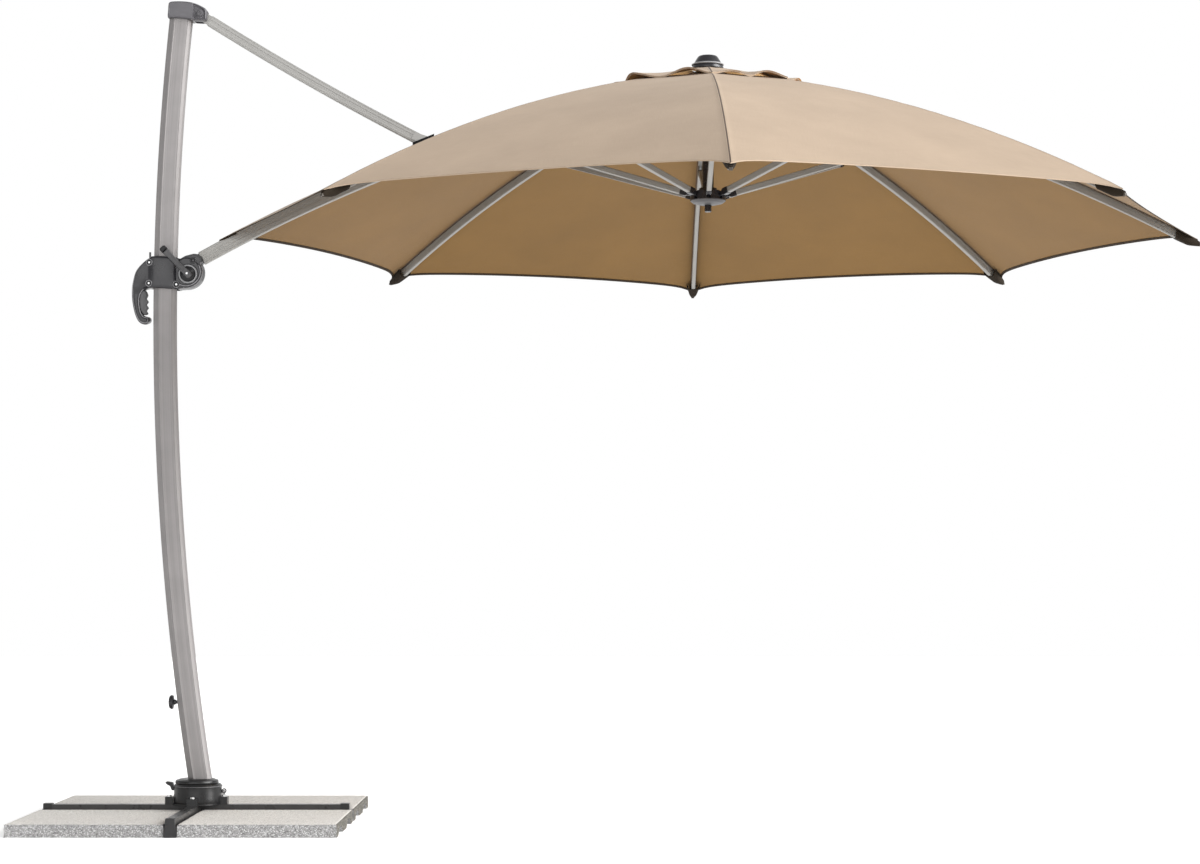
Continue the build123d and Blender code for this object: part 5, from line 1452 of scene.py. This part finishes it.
# rail ends: short plugs on the long rail, a skirted cap with a keyhole on the cross rail
caps = []
for k, (cx_, cy_) in enumerate(((1, 0), (-1, 0), (0, -1), (0, 1))):
    px_, py_ = -cy_, cx_
    L0 = .504

    def cp(a, b, z, cx_=cx_, cy_=cy_, px_=px_, py_=py_):
        return (cx_ * a + px_ * b, cy_ * a + py_ * b, z)

    if cx_:
        sec = [(-.0158, .0420), (.0158, .0420), (.0158, .0600), (.0145, .0612), (-.0145, .0612), (-.0158, .0600)]
        a0, a1 = L0 - .026, L0 + .0035
    else:
        sec = [(-.0195, .0), (.0195, .0), (.0185, .0200), (.0150, .0590), (.0135, .0605), (-.0135, .0605), (-.0150, .0590), (-.0185, .0200)]
        a0, a1 = L0 - .004, L0 + .0195
    m_ = len(sec)
    V = [cp(a0, b, z) for b, z in sec] + [cp(a1, b, z) for b, z in sec]
    F = [(i, (i + 1) % m_, m_ + (i + 1) % m_, m_ + i) for i in range(m_)] + [tuple(range(m_ - 1, -1, -1)), tuple(range(m_, 2 * m_))]
    o = obj_from("cap_%d" % k, V, F, [M["base"]], sharp=30)
    bm = bmesh.new()
    bm.from_mesh(o.data)
    bmesh.ops.recalc_face_normals(bm, faces=bm.faces)
    bm.to_mesh(o.data)
    bm.free()
    add_bevel(o, .0010, 2, 25)
    caps.append(o)
    if not cx_:
        # painted shade: the keyhole is a thin black disc on the cap
        key = lathe("key_%d" % k, [(0, .0600), (.0048, .0600), (.0048, .0608), (0, .0608)], cp(L0 + .008, 0, 0), [M["black_and_shade"]], 28)
        caps.append(key)
o = join("rail_end_plugs", caps)
place(o, "base", "base_plastic", "rail_end_caps")


# ------------------------------------------------------------------ CAD nodes that stay
for node, mat, bev in (
        ("rail_long", "rail", .0010), ("rail_short", "rail", .0010), ("cross_foot", "base", .0012), ("foot_bolts", "steel", .0006),
        ("foot_pedal", "base", .0012), ("lock_pin", "dark", .0006),
        ("mast_knob", "dark", .0008),
        ("strut_head", "frame_bare", 0), ("strut_ears", "frame_bare", .0006), ("arm_root", "dark", 0), ("arm_tip", "dark", .0008), ("pivot_lug", "frame_bare", .0010), ("pivot_bolt", "steel", .0006), ("arm_brace_pin", "steel", .0006),
        ("latch_rod", "dark", .0006),
        ("upper_hub", "dark", .0008), ("hub_pins", "steel", 0),
        ("lower_hub", "dark", .0008), ("runner_pins", "steel", 0), ("runner_disc", "disc", .0008), ("centre_post", "dark", .0006), ("runner_bolt", "dark", .0006)):
    skin(node, mat, bev)


# ------------------------------------------------------------------ stage, light, camera
me = bpy.data.meshes.new("floor")
me.from_pydata([(-14, -12, 0), (16, -12, 0), (16, 16, 0), (-14, 16, 0)], [], [(0, 1, 2, 3)])
floor = bpy.data.objects.new("floor", me)
scene.collection.objects.link(floor)
fl = Nodes("floor_paper")
fl.set(Roughness=0.9, **{"Specular_IOR_Level": 0.1})
fl.set(Emission_Strength=0.32, **{"Emission_Color": (1, 1, 1, 1)})
fl.color(fl.ramp(fl.noise(fl.coord("Object"), 0.7, 2.0), [(0.3, (.90, .90, .90)), (0.7, (.92, .92, .92))]))
me.materials.append(fl.m)

world = bpy.data.worlds.new("studio")
scene.world = world
world.use_nodes = True
bg = next(n for n in world.node_tree.nodes if n.type == "BACKGROUND")
bg.inputs[0].default_value = (1, 1, 1, 1)
bg.inputs[1].default_value = 1.0
# white backdrop behind the object, a dimmer studio above, in front and to the left
wt = world.node_tree
tc = wt.nodes.new("ShaderNodeTexCoord")
sx = wt.nodes.new("ShaderNodeSeparateXYZ")
wt.links.new(tc.outputs["Generated"], sx.inputs[0])
back = wt.nodes.new("ShaderNodeMapRange")
back.interpolation_type = "SMOOTHSTEP"
for k, v in ((1, 0.35), (2, 0.85), (3, 0.50), (4, 1.0)):
    back.inputs[k].default_value = v
wt.links.new(sx.outputs[1], back.inputs[0])
wt.links.new(back.outputs[0], bg.inputs[1])


def area_light(name, loc, target, size, power, color=(1, 1, 1)):
    l = bpy.data.lights.new(name, "AREA")
    l.shape, l.size, l.size_y, l.energy, l.color = "RECTANGLE", size[0], size[1], power, color
    o = bpy.data.objects.new(name, l)
    scene.collection.objects.link(o)
    o.location = loc
    o.rotation_euler = (Vector(target) - Vector(loc)).to_track_quat("-Z", "Y").to_euler()
    return o


def sun_light(name, direction, angle, power, color=(1, 1, 1)):
    l = bpy.data.lights.new(name, "SUN")
    l.energy, l.angle, l.color = power, math.radians(angle), color
    o = bpy.data.objects.new(name, l)
    scene.collection.objects.link(o)
    o.rotation_euler = (-Vector(direction)).to_track_quat("-Z", "Y").to_euler()
    return o


sun_light("key", (0.95, -0.30, 0.42), 46, 5.7)
sun_light("front", (-0.15, -1.0, 0.06), 50, 1.15)

cam = bpy.data.cameras.new("camera")
cam.sensor_width, cam.lens = 36.0, 77.23
cam.clip_end = 60
co = bpy.data.objects.new("camera", cam)
scene.collection.objects.link(co)
co.location = (1.3764, -8.5884, 0.8345)
co.rotation_euler = (math.radians(93.06), 0, math.radians(0.26))
scene.camera = co
scene.view_settings.view_transform = "Standard"
scene.view_settings.look = "None"
